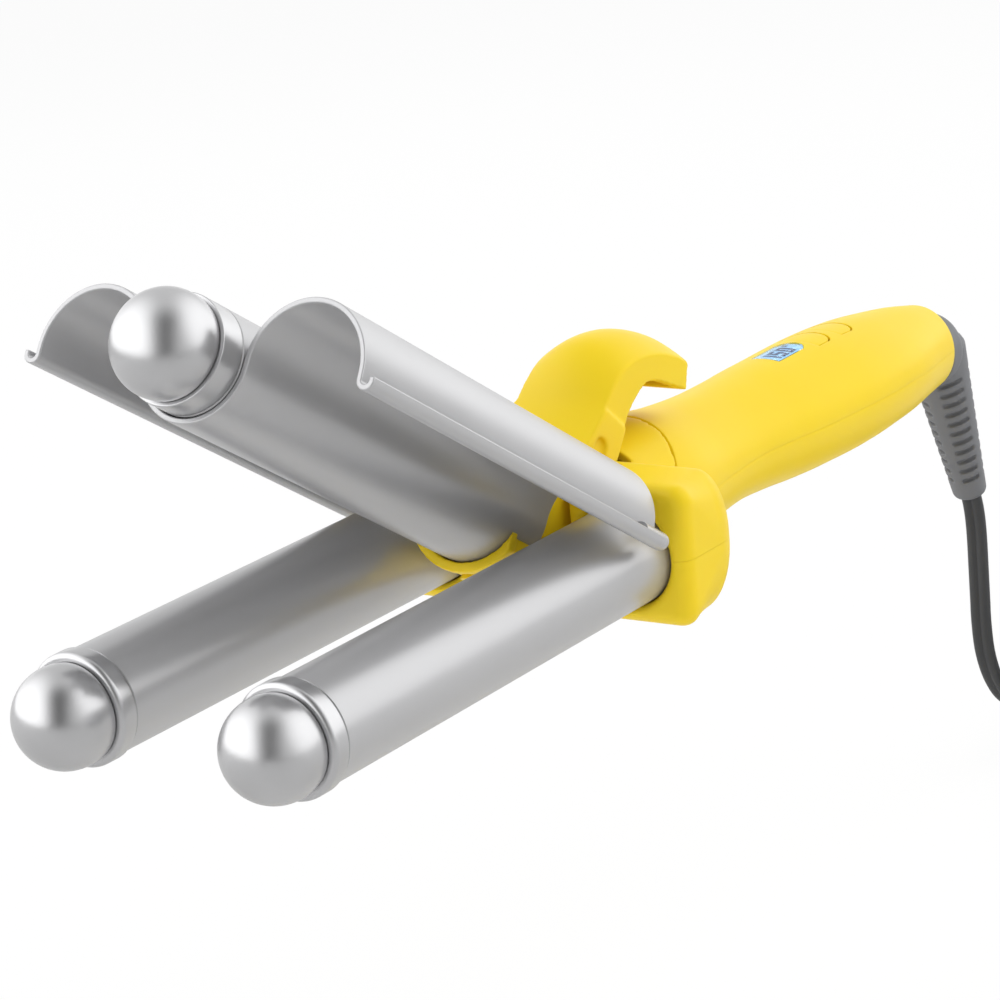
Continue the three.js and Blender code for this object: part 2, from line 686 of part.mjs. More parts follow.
function torsionSpring() {
  const radius = PIN_DIAMETER / 2 + BORE_GAP + SPRING_WIRE / 2;
  const pitch = SPRING_WIRE + 0.45;
  const steps = 8;
  const points = [];
  const legs = [SPRING_TOP_LEG, SPRING_FLOOR_LEG].map(THREE.MathUtils.degToRad);
  const sweep = 2 * Math.PI * SPRING_TURNS + legs[1] - legs[0];
  const count = Math.round((sweep / (2 * Math.PI)) * steps);
  const onCoil = (angle, x) =>
    new THREE.Vector3(x, HINGE_Y + radius * Math.cos(angle), HINGE_Z + radius * Math.sin(angle));
  const leg = (angle, x, sign) => {
    const along = new THREE.Vector3(0, -Math.sin(angle), Math.cos(angle)).multiplyScalar(sign * SPRING_LEG);
    return onCoil(angle, x).add(along);
  };
  const half = ((sweep / (2 * Math.PI)) * pitch) / 2;
  points.push(leg(legs[0], -half, -1));
  for (let i = 0; i <= count; i += 1) {
    points.push(onCoil(legs[0] + (sweep * i) / count, -half + (2 * half * i) / count));
  }
  points.push(leg(legs[0] + sweep, half, 1));
  return tube(points, SPRING_WIRE / 2, SPRING_WIRE / 2, 5, () => new THREE.Vector3(1, 0, 0));
}
piece('torsion_spring', torsionSpring(), STEEL);

// The housing's block: small round edges in front, wide ones behind
function housingBlock() {
  const half = HOUSING_WIDTH / 2;
  const [acrossRound, depthRound, heightRound] = HOUSING_REAR_ROUND;
  const steps = 5;
  const swell = (round, inset) => Math.sqrt(1 - (Math.max(round - inset, 0) / round) ** 2);
  const corners = [
    [HOUSING_REAR_Y, HOUSING_TOP, 0],
    [HOUSING_FRONT_Y, HOUSING_TOP, 90],
    [HOUSING_FRONT_Y, HOUSING_BOTTOM, 180],
    [HOUSING_REAR_Y, HOUSING_BOTTOM, 270],
  ];
  const ring = (x, inset) => corners.flatMap(([y, z, from]) => {
    const front = y === HOUSING_FRONT_Y;
    const depth = front ? HOUSING_FRONT_ROUND : depthRound;
    const height = front ? HOUSING_FRONT_ROUND : heightRound;
    const size = swell(front ? HOUSING_FRONT_ROUND : acrossRound, inset);
    const centreY = y + (front ? depth : -depth);
    const centreZ = z + (z === HOUSING_BOTTOM ? height : -height);
    return arc(0, 0, size, from, from + 90, front ? 3 : steps)
      .map(([cos, sin]) => new THREE.Vector3(x, centreY + depth * cos, centreZ + height * sin));
  });
  const insets = [];
  for (let i = 0; i <= steps; i += 1) {
    insets.push(acrossRound * (1 - Math.cos(THREE.MathUtils.degToRad(14 + (76 * i) / steps))));
  }
  const place = (inset, i) => (i === 0 ? 0 : inset);
  const near = insets.map((inset, i) => ring(-half + place(inset, i), inset));
  const far = insets.map((inset, i) => ring(half - place(inset, i), inset)).reverse();
  return loft([...near, ...far]);
}

// The neck and handle as one swelling form: ellipses whose size is read from the sections
const sections = [...HANDLE_SECTIONS, [TAIL_Y, TAIL_RADIUS, TAIL_Z]];
const radiusAt = (y) => smooth(sections.map(([at, radius]) => [at, radius]), y);
const centreAt = (y) => smooth(sections.map(([at, , centre]) => [at, centre]), y);

function handleRing(y, inset, sides) {
  const ring = [];
  for (let n = 0; n < sides; n += 1) {
    const angle = (2 * Math.PI * n) / sides;
    const x = (radiusAt(y) * HANDLE_SPREAD - inset) * Math.cos(angle);
    const z = centreAt(y) + (radiusAt(y) * HANDLE_RISE - inset) * Math.sin(angle);
    ring.push(new THREE.Vector3(x, y, z));
  }
  return ring;
}

function handleForm(inset, y0, y1, sides = SMALL_STEPS) {
  const rings = [];
  const count = Math.max(2, Math.round((y1 - y0) / RING_STEP));
  for (let i = 0; i <= count; i += 1) rings.push(handleRing(y0 + ((y1 - y0) * i) / count, inset, sides));
  return loft(rings);
}

function handleSkin() {
  const start = TAIL_Y - TAIL_ROUND;
  const rings = [];
  const count = Math.round((start - NECK_FRONT_Y) / RING_STEP);
  for (let i = 0; i < count; i += 1) {
    rings.push(handleRing(NECK_FRONT_Y + ((start - NECK_FRONT_Y) * i) / count, 0, ROUND_STEPS));
  }
  for (let i = 0; i <= 3; i += 1) {
    const angle = (Math.PI / 6) * i;
    const inset = TAIL_ROUND * (1 - Math.cos(angle));
    rings.push(handleRing(start + TAIL_ROUND * Math.sin(angle), inset, ROUND_STEPS));
  }
  return loft(rings);
}

// Everything in front of the seam between housing and handle: upright below, oblique above
function aheadOfSeam(shift) {
  const rear = SEAM_LOWER_Y + shift;
  const far = BEYOND.z;
  const bend = (rear - shift - SEAM_Y) / SEAM_SLOPE;
  const top = SEAM_Y + SEAM_SLOPE * far + shift;
  const outline = [[-2 * far + rear, -far], [rear, -far], [rear, bend], [top, far]];
  return sideOutline([...outline, [-2 * far + rear, far]], -far, far);
}

// Everything above the line where the two shells meet, raised or lowered by half the gap
function aboveParting(y0, y1, lift) {
  const count = 8;
  const line = [];
  for (let i = 0; i <= count; i += 1) {
    const y = y0 + ((y1 - y0) * i) / count;
    line.push([y, centreAt(y) + lift]);
  }
  return sideOutline([...line, [y1, BEYOND.z], [y0, BEYOND.z]], -BEYOND.z, BEYOND.z);
}

const everything = () => box(-BEYOND.x, BEYOND.x, BEYOND.front, BEYOND.rear, -BEYOND.z, BEYOND.z);
const skin = handleSkin();
const housingScrewSeat = HOUSING_BOTTOM + 6;
const housingScrewLength = -housingScrewSeat + SCREW_DEPTH / 2;

function housing() {
  const outer = join(housingBlock(), skin).intersect(aheadOfSeam(0));
  const bore = BARREL_RADIUS + SEAT_GAP;
  const bores = [-BARREL_X, BARREL_X].flatMap((x) => [
    rod(bore, HOUSING_FRONT_Y - 5, seatY + SEAT_GAP, x),
    turned([[0, HOUSING_FRONT_Y - 1], [bore + BORE_MOUTH + 1, HOUSING_FRONT_Y - 1],
      [bore, HOUSING_FRONT_Y + BORE_MOUTH], [0, HOUSING_FRONT_Y + BORE_MOUTH]], x),
  ]);
  const slot = box(-HALF_SLOT, HALF_SLOT, HOUSING_FRONT_Y - 5, SLOT_REAR_Y, SLOT_FLOOR, 60);
  const neckHollow = handleForm(NECK_WALL, SLOT_REAR_Y - 1, NECK_REAR_Y);
  const pinSeat = crossRod(PIN_DIAMETER / 2 + SEAT_GAP, -pinEnd, pinEnd, HINGE_Y, HINGE_Z, 16);
  const screws = [-1, 1].map((side) =>
    screwUpHole(side * HOUSING_SCREW_X, HOUSING_SCREW_Y, housingScrewSeat, housingScrewLength, SCREW_WELL));
  return cut(outer, ...bores, slot, neckHollow, pinSeat, ...screws);
}
const housingWhole = housing();
const halfGap = SEAT_GAP / 2;
piece('housing_upper', housingWhole.intersect(everything().translate([0, 0, halfGap + BEYOND.z])), YELLOW);
piece('housing_lower', housingWhole.intersect(everything().translate([0, 0, -halfGap - BEYOND.z])), YELLOW);
for (const [name, x] of [['left', -HOUSING_SCREW_X], ['right', HOUSING_SCREW_X]]) {
  piece(`housing_screw_${name}`, screwUp(x, HOUSING_SCREW_Y, housingScrewSeat, housingScrewLength), STEEL);
}

// The D-shaped outline of a window or button: straight in front, bowed behind
function dOutline(halfWidth, front, rear, bow) {
  const points = [[-halfWidth, front], [halfWidth, front]];
  for (let i = 0; i <= 10; i += 1) {
    const angle = (Math.PI * i) / 10;
    points.push([halfWidth * Math.cos(angle), rear - bow + bow * Math.sin(angle)]);
  }
  return points;
}

const windowOutline = (grow) => {
  const half = WINDOW_WIDTH / 2 + grow;
  return dOutline(half, WINDOW_Y - WINDOW_LENGTH / 2 - grow, WINDOW_Y + WINDOW_LENGTH / 2 + grow, half);
};
const buttonOutline = (rear, grow) =>
  dOutline(BUTTON_WIDTH / 2 + grow, rear - BUTTON_LENGTH - grow, rear + grow, BUTTON_BOW);

const innerForm = (inset) => handleForm(inset, WINDOW_Y - 40, POWER_Y + 40, ROUND_STEPS);
const layer = (outline, from, to) =>
  cut(planOutline(outline, 0, BEYOND.z).intersect(innerForm(from)), innerForm(to));

// The handle: two shells that plug into the neck and close round the swivel at the tail
const handleScrews = HANDLE_SCREWS_Y.map((y) => {
  const bottom = centreAt(y) - radiusAt(y) * HANDLE_RISE;
  const seat = bottom + HANDLE_WALL + 1.4;
  return { y, seat, length: centreAt(y) - seat + SCREW_DEPTH / 2 };
});
const boardPosts = [BOARD_FRONT_Y + 6, BOARD_REAR_Y - 6];

function handleShells() {
  const behind = (shift) => cut(everything(), aheadOfSeam(shift));
  const spigotInset = NECK_WALL + SEAT_GAP;
  const spigotFront = SLOT_REAR_Y - 1;
  const spigot = handleForm(spigotInset, spigotFront, NECK_REAR_Y).intersect(behind(SEAT_GAP - NECK_SPIGOT));
  const shell = join(skin.intersect(behind(SEAT_GAP)), spigot);
  const thick = handleForm(spigotInset + SPIGOT_WALL, spigotFront - 5, NECK_REAR_Y);
  const thin = handleForm(HANDLE_WALL, NECK_REAR_Y - 1, TAIL_Y - TAIL_WALL, ROUND_STEPS);
  const stemHole = rod(STEM_RADIUS + SEAT_GAP, TAIL_Y - 10, TAIL_Y + 5, 0, TAIL_Z, SMALL_STEPS);
  const hollowed = cut(shell, thick, thin, stemHole);
  const inside = handleForm(1, INSIDE_FRONT_Y, TAIL_Y - 5);
  const bosses = handleScrews.map(({ y }) => upright(BOSS_RADIUS, 0, y, -60, 60));
  const posts = boardPosts.map((y) => upright(BOSS_RADIUS - 1, 0, y, -60, BOARD_Z - SEAT_GAP));
  const upper = aboveParting(-170, 80, halfGap);
  const lowerCut = aboveParting(-170, 80, -halfGap);
  const openings = [
    planOutline(windowOutline(SEAT_GAP), 0, 60),
    planOutline(buttonOutline(TEMPERATURE_Y, SEAT_GAP), 0, 60),
    planOutline(buttonOutline(POWER_Y, SEAT_GAP), 0, 60),
  ];
  const wells = handleScrews.map(({ y, seat, length }) => screwUpHole(0, y, seat, length, SCREW_WELL));
  const whole = join(hollowed, ...bosses.map((boss) => boss.intersect(inside)));
  const above = cut(whole.intersect(upper), ...openings, ...wells);
  const below = cut(join(whole, ...posts.map((post) => post.intersect(inside))), lowerCut, ...wells);
  return [above, below];
}
const [handleUpper, handleLower] = handleShells();
piece('handle_upper', handleUpper, YELLOW);
piece('handle_lower', handleLower, YELLOW);
handleScrews.forEach(({ y, seat, length }, i) => {
  piece(`handle_screw_${['front', 'rear'][i]}`, screwUp(0, y, seat, length), STEEL);
});

// The circuit board, the display on it, and a switch under each button
const boardTop = BOARD_Z + BOARD_THICKNESS;
const boardHalf = BOARD_WIDTH / 2;
const board = box(-boardHalf, boardHalf, BOARD_FRONT_Y, BOARD_REAR_Y, BOARD_Z, boardTop);
piece('circuit_board', board, BOARD_GREEN);
const windowTop = centreAt(WINDOW_Y) + radiusAt(WINDOW_Y) * HANDLE_RISE;
const displayTop = windowTop - HANDLE_WALL - WINDOW_THICKNESS - SEAT_GAP;
const displayFrame = box(-WINDOW_WIDTH / 2 - 1.6, WINDOW_WIDTH / 2 + 1.6,
  WINDOW_Y - WINDOW_LENGTH / 2, WINDOW_Y + WINDOW_LENGTH / 2, boardTop + SEAT_GAP, displayTop);
const displayGlass = planOutline(windowOutline(-SEAT_GAP), displayTop - 1, windowTop - WINDOW_THICKNESS - 1);
piece('display_module', join(displayFrame, displayGlass), DISPLAY);
piece('display_window', layer(windowOutline(0), 0, WINDOW_THICKNESS), CLEAR);

const switchTop = boardTop + SEAT_GAP + SWITCH_HEIGHT;
for (const [name, rear] of [['power', POWER_Y], ['temperature', TEMPERATURE_Y]]) {
  const middle = rear - BUTTON_LENGTH / 2;
  const half = SWITCH_SIZE / 2;
  const cap = layer(buttonOutline(rear, 0), 0, HANDLE_WALL + BUTTON_THICKNESS);
  const flange = layer(buttonOutline(rear, 1), HANDLE_WALL + SEAT_GAP, HANDLE_WALL + BUTTON_THICKNESS);
  const top = centreAt(middle) + radiusAt(middle) * HANDLE_RISE - HANDLE_WALL - 1;
  const stem = upright(BUTTON_STEM / 2, 0, middle, switchTop + BUTTON_TRAVEL + 0.1, top, 16);
  piece(`${name}_button`, join(cap, flange, stem), YELLOW);
  const body = box(-half, half, middle - half, middle + half, boardTop + SEAT_GAP, switchTop);
  piece(`${name}_switch`, body, DARK);
}

// The swivel: a hub that turns in the tail wall, a washer inside it and the boot outside
const swivel = new THREE.Group();
waver.add(swivel);
const wallInside = TAIL_Y - TAIL_WALL;
const washerFront = wallInside - SEAT_GAP - WASHER_THICKNESS;
const flangeRear = washerFront - SEAT_GAP;
const hubFace = TAIL_Y + SEAT_GAP;
const washer = [
  [STEM_RADIUS + SEAT_GAP, washerFront],
  [FLANGE_RADIUS - 1, washerFront],
  [FLANGE_RADIUS - 1, wallInside - SEAT_GAP],
  [STEM_RADIUS + SEAT_GAP, wallInside - SEAT_GAP],
];
const hub = [
  [STEM_BORE, flangeRear - FLANGE_THICKNESS],
  [FLANGE_RADIUS, flangeRear - FLANGE_THICKNESS],
  [FLANGE_RADIUS, flangeRear],
  [STEM_RADIUS, flangeRear],
  [STEM_RADIUS, hubFace],
  [HUB_RADIUS, hubFace],
  [HUB_RADIUS, hubFace + HUB_REACH],
  [STEM_BORE, hubFace + HUB_REACH],
];
piece('swivel_washer', turned(washer, 0, TAIL_Z, SMALL_STEPS), BRASS);
piece('swivel_hub', turned(hub, 0, TAIL_Z, SMALL_STEPS), DARK, swivel);

// The boot: a dome over the hub that runs out into a tapering strain relief with cross slots
const bootAxis = new THREE.Vector3(0, BOOT_TIP_Y - BOOT_TOP_Y, BOOT_TIP_Z - BOOT_TOP_Z);
const bootLength = bootAxis.length();
bootAxis.normalize();
const bootTop = new THREE.Vector3(0, BOOT_TOP_Y, BOOT_TOP_Z);
const bootTip = new THREE.Vector3(0, BOOT_TIP_Y, BOOT_TIP_Z);
const bootRadius = (along) => BOOT_TOP_RADIUS + ((BOOT_TIP_RADIUS - BOOT_TOP_RADIUS) * along) / bootLength;

function cordBoot() {
  const face = hubFace;
  const room = HUB_RADIUS + SEAT_GAP;
  const dome = [];
  for (let i = 0; i <= 6; i += 1) {
    const angle = (Math.PI / 12) * i;
    dome.push([i === 6 ? 0 : DOME_RADIUS * Math.cos(angle), face + DOME_REACH * Math.sin(angle)]);
  }
  const roof = face + HUB_REACH + SEAT_GAP;
  const profile = [[0, roof], [room, roof], [room, face], ...dome];
  const shell = turned(profile, 0, TAIL_Z);
  const points = [];
  const radii = [];
  const ringAt = (along, radius) => {
    points.push(bootTop.clone().addScaledVector(bootAxis, along));
    radii.push(radius);
  };
  for (let i = 0; i <= 4; i += 1) {
    const angle = (Math.PI / 8) * i;
    ringAt(-BOOT_TOP_RADIUS * Math.cos(angle) * 0.5, BOOT_TOP_RADIUS * Math.max(Math.sin(angle), 0.25));
  }
  for (let i = 1; i <= 5; i += 1) {
    const along = ((bootLength - BOOT_TIP_ROUND) * i) / 5;
    ringAt(along, bootRadius(along));
  }
  ringAt(bootLength - BOOT_TIP_ROUND * 0.3, BOOT_TIP_RADIUS - BOOT_TIP_ROUND * 0.3);
  ringAt(bootLength, BOOT_TIP_RADIUS - BOOT_TIP_ROUND);
  const right = new THREE.Vector3(1, 0, 0);
  const up = new THREE.Vector3().crossVectors(right, bootAxis);
  const rings = points.map((p, i) => {
    const ring = [];
    for (let n = 0; n < SMALL_STEPS; n += 1) {
      const angle = (2 * Math.PI * n) / SMALL_STEPS;
      const corner = p.clone().addScaledVector(right, radii[i] * Math.cos(angle));
      ring.push(corner.addScaledVector(up, radii[i] * Math.sin(angle)));
    }
    return ring;
  });
  const hubRoom = rod(room, face - 10, roof, 0, TAIL_Z);
  const slots = [];
  for (let row = 0; row < 4; row += 1) {
    for (let n = 0; n < BOOT_SLOTS; n += 1) {
      const along = bootLength - BOOT_SLOT_END - n * BOOT_SLOT_PITCH;
      const radius = bootRadius(along);
      const turn = THREE.MathUtils.degToRad(45 + 90 * row);
      const outward = right.clone().multiplyScalar(Math.cos(turn)).addScaledVector(up, Math.sin(turn));
      const across = new THREE.Vector3().crossVectors(bootAxis, outward);
      const block = new THREE.BoxGeometry(2 * BOOT_SLOT_DEPTH, radius * 1.15, BOOT_SLOT_HEIGHT);
      block.applyMatrix4(new THREE.Matrix4().makeBasis(outward, across, bootAxis));
      const place = bootTop.clone().addScaledVector(bootAxis, along).addScaledVector(outward, radius);
      block.translate(place.x, place.y, place.z);
      slots.push(solid(block));
    }
  }
  return cut(join(shell, cut(loft(rings), hubRoom)), ...slots);
}
piece('cord_boot', cordBoot(), GREY_RUBBER, swivel);

// The cord: it leaves the boot, hangs plumb and curves to lie level with the top of its coil
const cordBase = FLOOR_Z + TIE_THICKNESS + SEAT_GAP;
const layerStep = CORD_HEIGHT + COIL_GAP;
const coilPitch = CORD_WIDTH + COIL_GAP;
const CORD_ROUTE = [
  [79.6, -55.8],
  [80.9, -59.5],
  [81.8, -63.5],
  [82.3, -68],
  [82.5, -73],
  [82.5, -79],
  [82.5, -86],
  [82.5, -92],
  [82.5, -97.4],
  [83.8, -107.2],
  [87.6, -116.4],
  [93.6, -124.3],
  [101.5, -130.3],
  [110.7, -134.1],
  [117, -135.4],
  [122, -135.6],
  [128.2, -135.6],
];
const TAIL_ROUTE = [
  [142, -148.2],
  [148, -148.2],
  [154, -147.8],
  [160, -146.8],
  [166, -145.3],
  [172, -144.2],
  [178, -143.8],
  [184, -143.8],
];
const sideways = new THREE.Vector3(1, 0, 0);
const alongY = (route) => route.map(([y, z]) => new THREE.Vector3(0, y, z));

function smoothRoute(points, steps) {
  const curve = new THREE.CatmullRomCurve3(points, false, 'centripetal');
  return curve.getSpacedPoints(steps);
}
const cordPoints = smoothRoute(alongY(CORD_ROUTE), 22);
piece('cord', tube(cordPoints, CORD_WIDTH / 2, CORD_HEIGHT / 2, 8, () => sideways), GREY_RUBBER);

// The coil: it spirals in and out in layers from the top down, and the height changes in the
// half turn where the spiral reverses
const coilStartY = CORD_ROUTE.at(-1)[0] + SEAT_GAP;
const turnsPerLayer = COIL_TURNS / COIL_LAYERS;
const coilOuter = COIL_INNER + coilPitch * turnsPerLayer;
const coilCentre = new THREE.Vector3(coilOuter, coilStartY + CORD_WIDTH, 0);
const coilTop = cordBase + CORD_HEIGHT / 2 + layerStep * (COIL_LAYERS - 1);

function coilPoint(turns) {
  const sweep = turns / turnsPerLayer;
  const whole = Math.floor(sweep);
  const part = sweep - whole;
  const inward = whole % 2 === 0 ? 1 - part : part;
  const radius = COIL_INNER + (coilOuter - COIL_INNER) * inward;
  const nearest = Math.min(Math.max(Math.round(sweep), 1), COIL_LAYERS - 1);
  const climb = THREE.MathUtils.clamp((turns - nearest * turnsPerLayer) / 0.5 + 0.5, 0, 1);
  const height = coilTop - layerStep * (nearest - 1 + climb);
  const angle = Math.PI - 2 * Math.PI * turns;
  return new THREE.Vector3(
    coilCentre.x + radius * Math.cos(angle),
    coilCentre.y + radius * Math.sin(angle),
    height,
  );
}

const coilPoints = [];
const coilCount = COIL_TURNS * COIL_STEPS;
for (let i = 0; i <= coilCount; i += 1) coilPoints.push(coilPoint(i / COIL_STEPS));
const straight = (p, y) => new THREE.Vector3(p.x, p.y + y, p.z);
coilPoints.unshift(straight(coilPoints[0], -CORD_WIDTH));
coilPoints.push(straight(coilPoints.at(-1), CORD_WIDTH));
const coilWide = (i) => {
  if (i === 0 || i === coilPoints.length - 1) return sideways;
  return new THREE.Vector3(coilPoints[i].x - coilCentre.x, coilPoints[i].y - coilCentre.y, 0);
};
piece('cord_coil', tube(coilPoints, CORD_WIDTH / 2, CORD_HEIGHT / 2, 6, coilWide), GREY_RUBBER);

// The least gap between the coil's turns, measured corner to corner on the drawn tube
function leastCoilGap() {
  const corners = coilPoints.map((p, i) => {
    const wide = coilWide(i).clone().normalize();
    return [0, 60, 120, 180, 240, 300].map((degrees) => {
      const angle = THREE.MathUtils.degToRad(degrees);
      const corner = p.clone().addScaledVector(wide, (CORD_WIDTH / 2) * Math.cos(angle));
      return corner.setZ(p.z + (CORD_HEIGHT / 2) * Math.sin(angle));
    });
  });
  let least = Infinity;
  for (let i = 0; i < corners.length; i += 1) {
    for (let j = i + COIL_STEPS / 2; j < corners.length; j += 1) {
      if (coilPoints[i].distanceTo(coilPoints[j]) > 2 * CORD_WIDTH) continue;
      for (const a of corners[i]) for (const b of corners[j]) least = Math.min(least, a.distanceTo(b));
    }
  }
  return least;
}
console.log(`least gap between the coil's turns: ${leastCoilGap().toFixed(2)} mm`);

const tailPoints = smoothRoute(alongY(TAIL_ROUTE), 10);
piece('cord_tail', tube(tailPoints, CORD_WIDTH / 2, CORD_HEIGHT / 2, 8, () => sideways), GREY_RUBBER);

const lengthOf = (points) => points.slice(1).reduce((sum, p, i) => sum + p.distanceTo(points[i]), 0);
const cordLength = lengthOf(cordPoints) + lengthOf(coilPoints) + lengthOf(tailPoints);
console.log(`cord length: ${(cordLength / 1000).toFixed(2)} m`);

// The tie: a strap round the turns, at the side of the coil away from the handle
function cordTie() {
  const clear = SEAT_GAP + TIE_THICKNESS;
  const near = COIL_INNER - CORD_WIDTH / 2 - clear;
  const far = coilOuter + CORD_WIDTH / 2 + clear;
  const [low, high] = [FLOOR_Z, coilTop + CORD_HEIGHT / 2 + clear];
  const strapBlock = (wall, half) => box(near + wall, far - wall, -half, half, low + wall, high - wall);
  const strap = cut(strapBlock(0, TIE_WIDTH / 2), strapBlock(TIE_THICKNESS, TIE_WIDTH));
  return strap.rotate([0, 0, 45]).translate([coilCentre.x, coilCentre.y, 0]);
}
piece('cord_tie', cordTie(), DARK);

// The plug: a two-blade body with a ribbed tail for the cord
const plugZ = FLOOR_Z + PLUG_HEIGHT / 2;
const plugFront = TAIL_ROUTE.at(-1)[0] + SEAT_GAP;
const plugBodyY = plugFront + PLUG_RELIEF;

function plugBody() {
  const ring = (y, halfX, halfZ) => {
    const points = [];
    for (let n = 0; n < SMALL_STEPS; n += 1) {
      const angle = (2 * Math.PI * n) / SMALL_STEPS;
      const square = (value) => Math.sign(value) * Math.abs(value) ** 0.6;
      const [x, z] = [halfX * square(Math.cos(angle)), halfZ * square(Math.sin(angle))];
      points.push(new THREE.Vector3(x, y, plugZ + z));
    }
    return points;
  };
  const rings = [];
  const pitch = PLUG_RELIEF / PLUG_RIBS;
  for (let i = 0; i < PLUG_RIBS; i += 1) {
    const low = SEAT_GAP + i * PLUG_TAPER;
    const at = plugFront + i * pitch;
    for (const [share, rise] of [[0, PLUG_RIB_HEIGHT], [0.55, PLUG_RIB_HEIGHT], [0.6, 0], [0.95, 0]]) {
      rings.push(ring(at + pitch * share, CORD_WIDTH / 2 + low + rise, CORD_HEIGHT / 2 + low + rise));
    }
  }
  const [x, z] = [PLUG_WIDTH / 2, PLUG_HEIGHT / 2];
  rings.push(ring(plugBodyY, x * 0.62, z * 0.72), ring(plugBodyY + 4, x * 0.8, z * 0.88));
  rings.push(ring(plugBodyY + 11, x * 0.97, z * 0.99), ring(plugBodyY + 16, x, z));
  rings.push(ring(plugBodyY + PLUG_LENGTH - 1.5, x, z), ring(plugBodyY + PLUG_LENGTH, x - 1.2, z - 1.2));
  const seats = [-1, 1].map((side) => blade(side, SEAT_GAP));
  return cut(loft(rings), ...seats);
}

function blade(side, grow) {
  const x = (side * BLADE_PITCH) / 2;
  const [halfX, halfZ] = [BLADE_THICKNESS / 2 + grow, BLADE_WIDTH / 2 + grow];
  const start = plugBodyY + PLUG_LENGTH - BLADE_SEAT - grow;
  const end = plugBodyY + PLUG_LENGTH + BLADE_LENGTH;
  return box(x - halfX, x + halfX, start, end, plugZ - halfZ, plugZ + halfZ);
}
piece('plug_body', plugBody(), GREY_RUBBER);
for (const [name, side] of [['left', -1], ['right', 1]]) {
  const holeY = plugBodyY + PLUG_LENGTH + BLADE_HOLE_REACH;
  const hole = crossRod(BLADE_HOLE / 2, -BLADE_PITCH, BLADE_PITCH, holeY, plugZ, 12);
  piece(`plug_blade_${name}`, cut(blade(side, 0), hole), BRASS);
}

export default waver;
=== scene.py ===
import math

import bmesh
import bpy
from mathutils import Matrix, Vector


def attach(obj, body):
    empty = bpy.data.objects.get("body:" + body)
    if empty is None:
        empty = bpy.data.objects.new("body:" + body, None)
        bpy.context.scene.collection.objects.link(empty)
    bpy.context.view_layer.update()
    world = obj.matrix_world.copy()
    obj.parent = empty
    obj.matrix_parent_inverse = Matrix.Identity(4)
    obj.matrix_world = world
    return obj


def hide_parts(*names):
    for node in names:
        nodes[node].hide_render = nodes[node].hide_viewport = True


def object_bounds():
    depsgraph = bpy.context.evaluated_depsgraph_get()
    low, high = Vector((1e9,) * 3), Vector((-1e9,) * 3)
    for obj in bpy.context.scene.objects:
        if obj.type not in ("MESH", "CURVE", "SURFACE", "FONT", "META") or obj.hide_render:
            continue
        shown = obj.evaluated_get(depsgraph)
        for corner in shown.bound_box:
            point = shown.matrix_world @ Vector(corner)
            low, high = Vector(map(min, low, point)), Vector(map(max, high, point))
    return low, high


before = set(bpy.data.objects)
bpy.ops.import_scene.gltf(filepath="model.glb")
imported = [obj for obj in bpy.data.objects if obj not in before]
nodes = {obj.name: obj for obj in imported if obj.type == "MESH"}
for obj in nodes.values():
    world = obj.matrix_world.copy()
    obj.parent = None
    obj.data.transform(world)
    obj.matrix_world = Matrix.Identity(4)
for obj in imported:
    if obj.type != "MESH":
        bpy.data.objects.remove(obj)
cad_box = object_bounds()

# The camera stands where the photograph was taken from: its place, turn and lens come from the
# outlines of the two fixed barrels, their tips and the clamp. The turn is an axis whose length is
# the angle, into a picture whose second number runs down.
CAMERA_PLACE = (0.45550, -0.82216, 0.24187)
CAMERA_TURN = Vector((1.815, 0.482, -0.485))
CAMERA_LENS = 123.66
SENSOR_WIDTH = 36.0
camera = bpy.data.objects.new("camera", bpy.data.cameras.new("camera"))
bpy.context.scene.collection.objects.link(camera)
bpy.context.scene.camera = camera
camera.data.sensor_width = SENSOR_WIDTH
camera.data.lens = CAMERA_LENS
to_view = Matrix.Rotation(CAMERA_TURN.length, 3, CAMERA_TURN.normalized())
facing = to_view.transposed() @ Matrix.Diagonal((1.0, -1.0, -1.0))
camera.matrix_world = Matrix.Translation(CAMERA_PLACE) @ facing.to_4x4()

# The cord: 2.7 m of flat twin flex in a dark jacket. Its route repeats the solid model's: it hangs
# from the boot, curves to lie level on its coil, winds in and out in four layers, and runs on to
# the plug.
MM = 0.001
CORD_WIDTH = 6.5
CORD_HEIGHT = 3.6
CORD_ROUTE = [
    (79.6, -55.8), (80.9, -59.5), (81.8, -63.5), (82.3, -68), (82.5, -73), (82.5, -79),
    (82.5, -86), (82.5, -92), (82.5, -97.4), (83.8, -107.2), (87.6, -116.4), (93.6, -124.3),
    (101.5, -130.3), (110.7, -134.1), (117, -135.4), (122, -135.6), (128.2, -135.6),
]
TAIL_ROUTE = [
    (142, -148.2), (148, -148.2), (154, -147.8), (160, -146.8), (166, -145.3), (172, -144.2),
    (178, -143.8), (184, -143.8),
]
COIL_LAYERS = 4
COIL_TURNS = 11
COIL_INNER = 27.0
COIL_GAP = 0.6
COIL_STEPS = 48
COIL_TOP = -135.6
COIL_CLEARANCE = 0.3
LAYER_CHANGE = 0.5
CORD_STEP = 2.5
CORE_STEPS = 10
CORE_ARC = 143
WELD = 2e-6


def smooth_line(points, step):
    """Points about one step apart on a smooth curve through the given ones."""
    line = []
    for i in range(len(points) - 1):
        before = points[max(i - 1, 0)]
        start, end = points[i], points[i + 1]
        after = points[min(i + 2, len(points) - 1)]
        count = max(1, round((end - start).length / step))
        for k in range(count):
            t = k / count
            line.append(0.5 * (
                2 * start + (end - before) * t
                + (2 * before - 5 * start + 4 * end - after) * t ** 2
                + (3 * start - before - 3 * end + after) * t ** 3
            ))
    return line + [points[-1]]


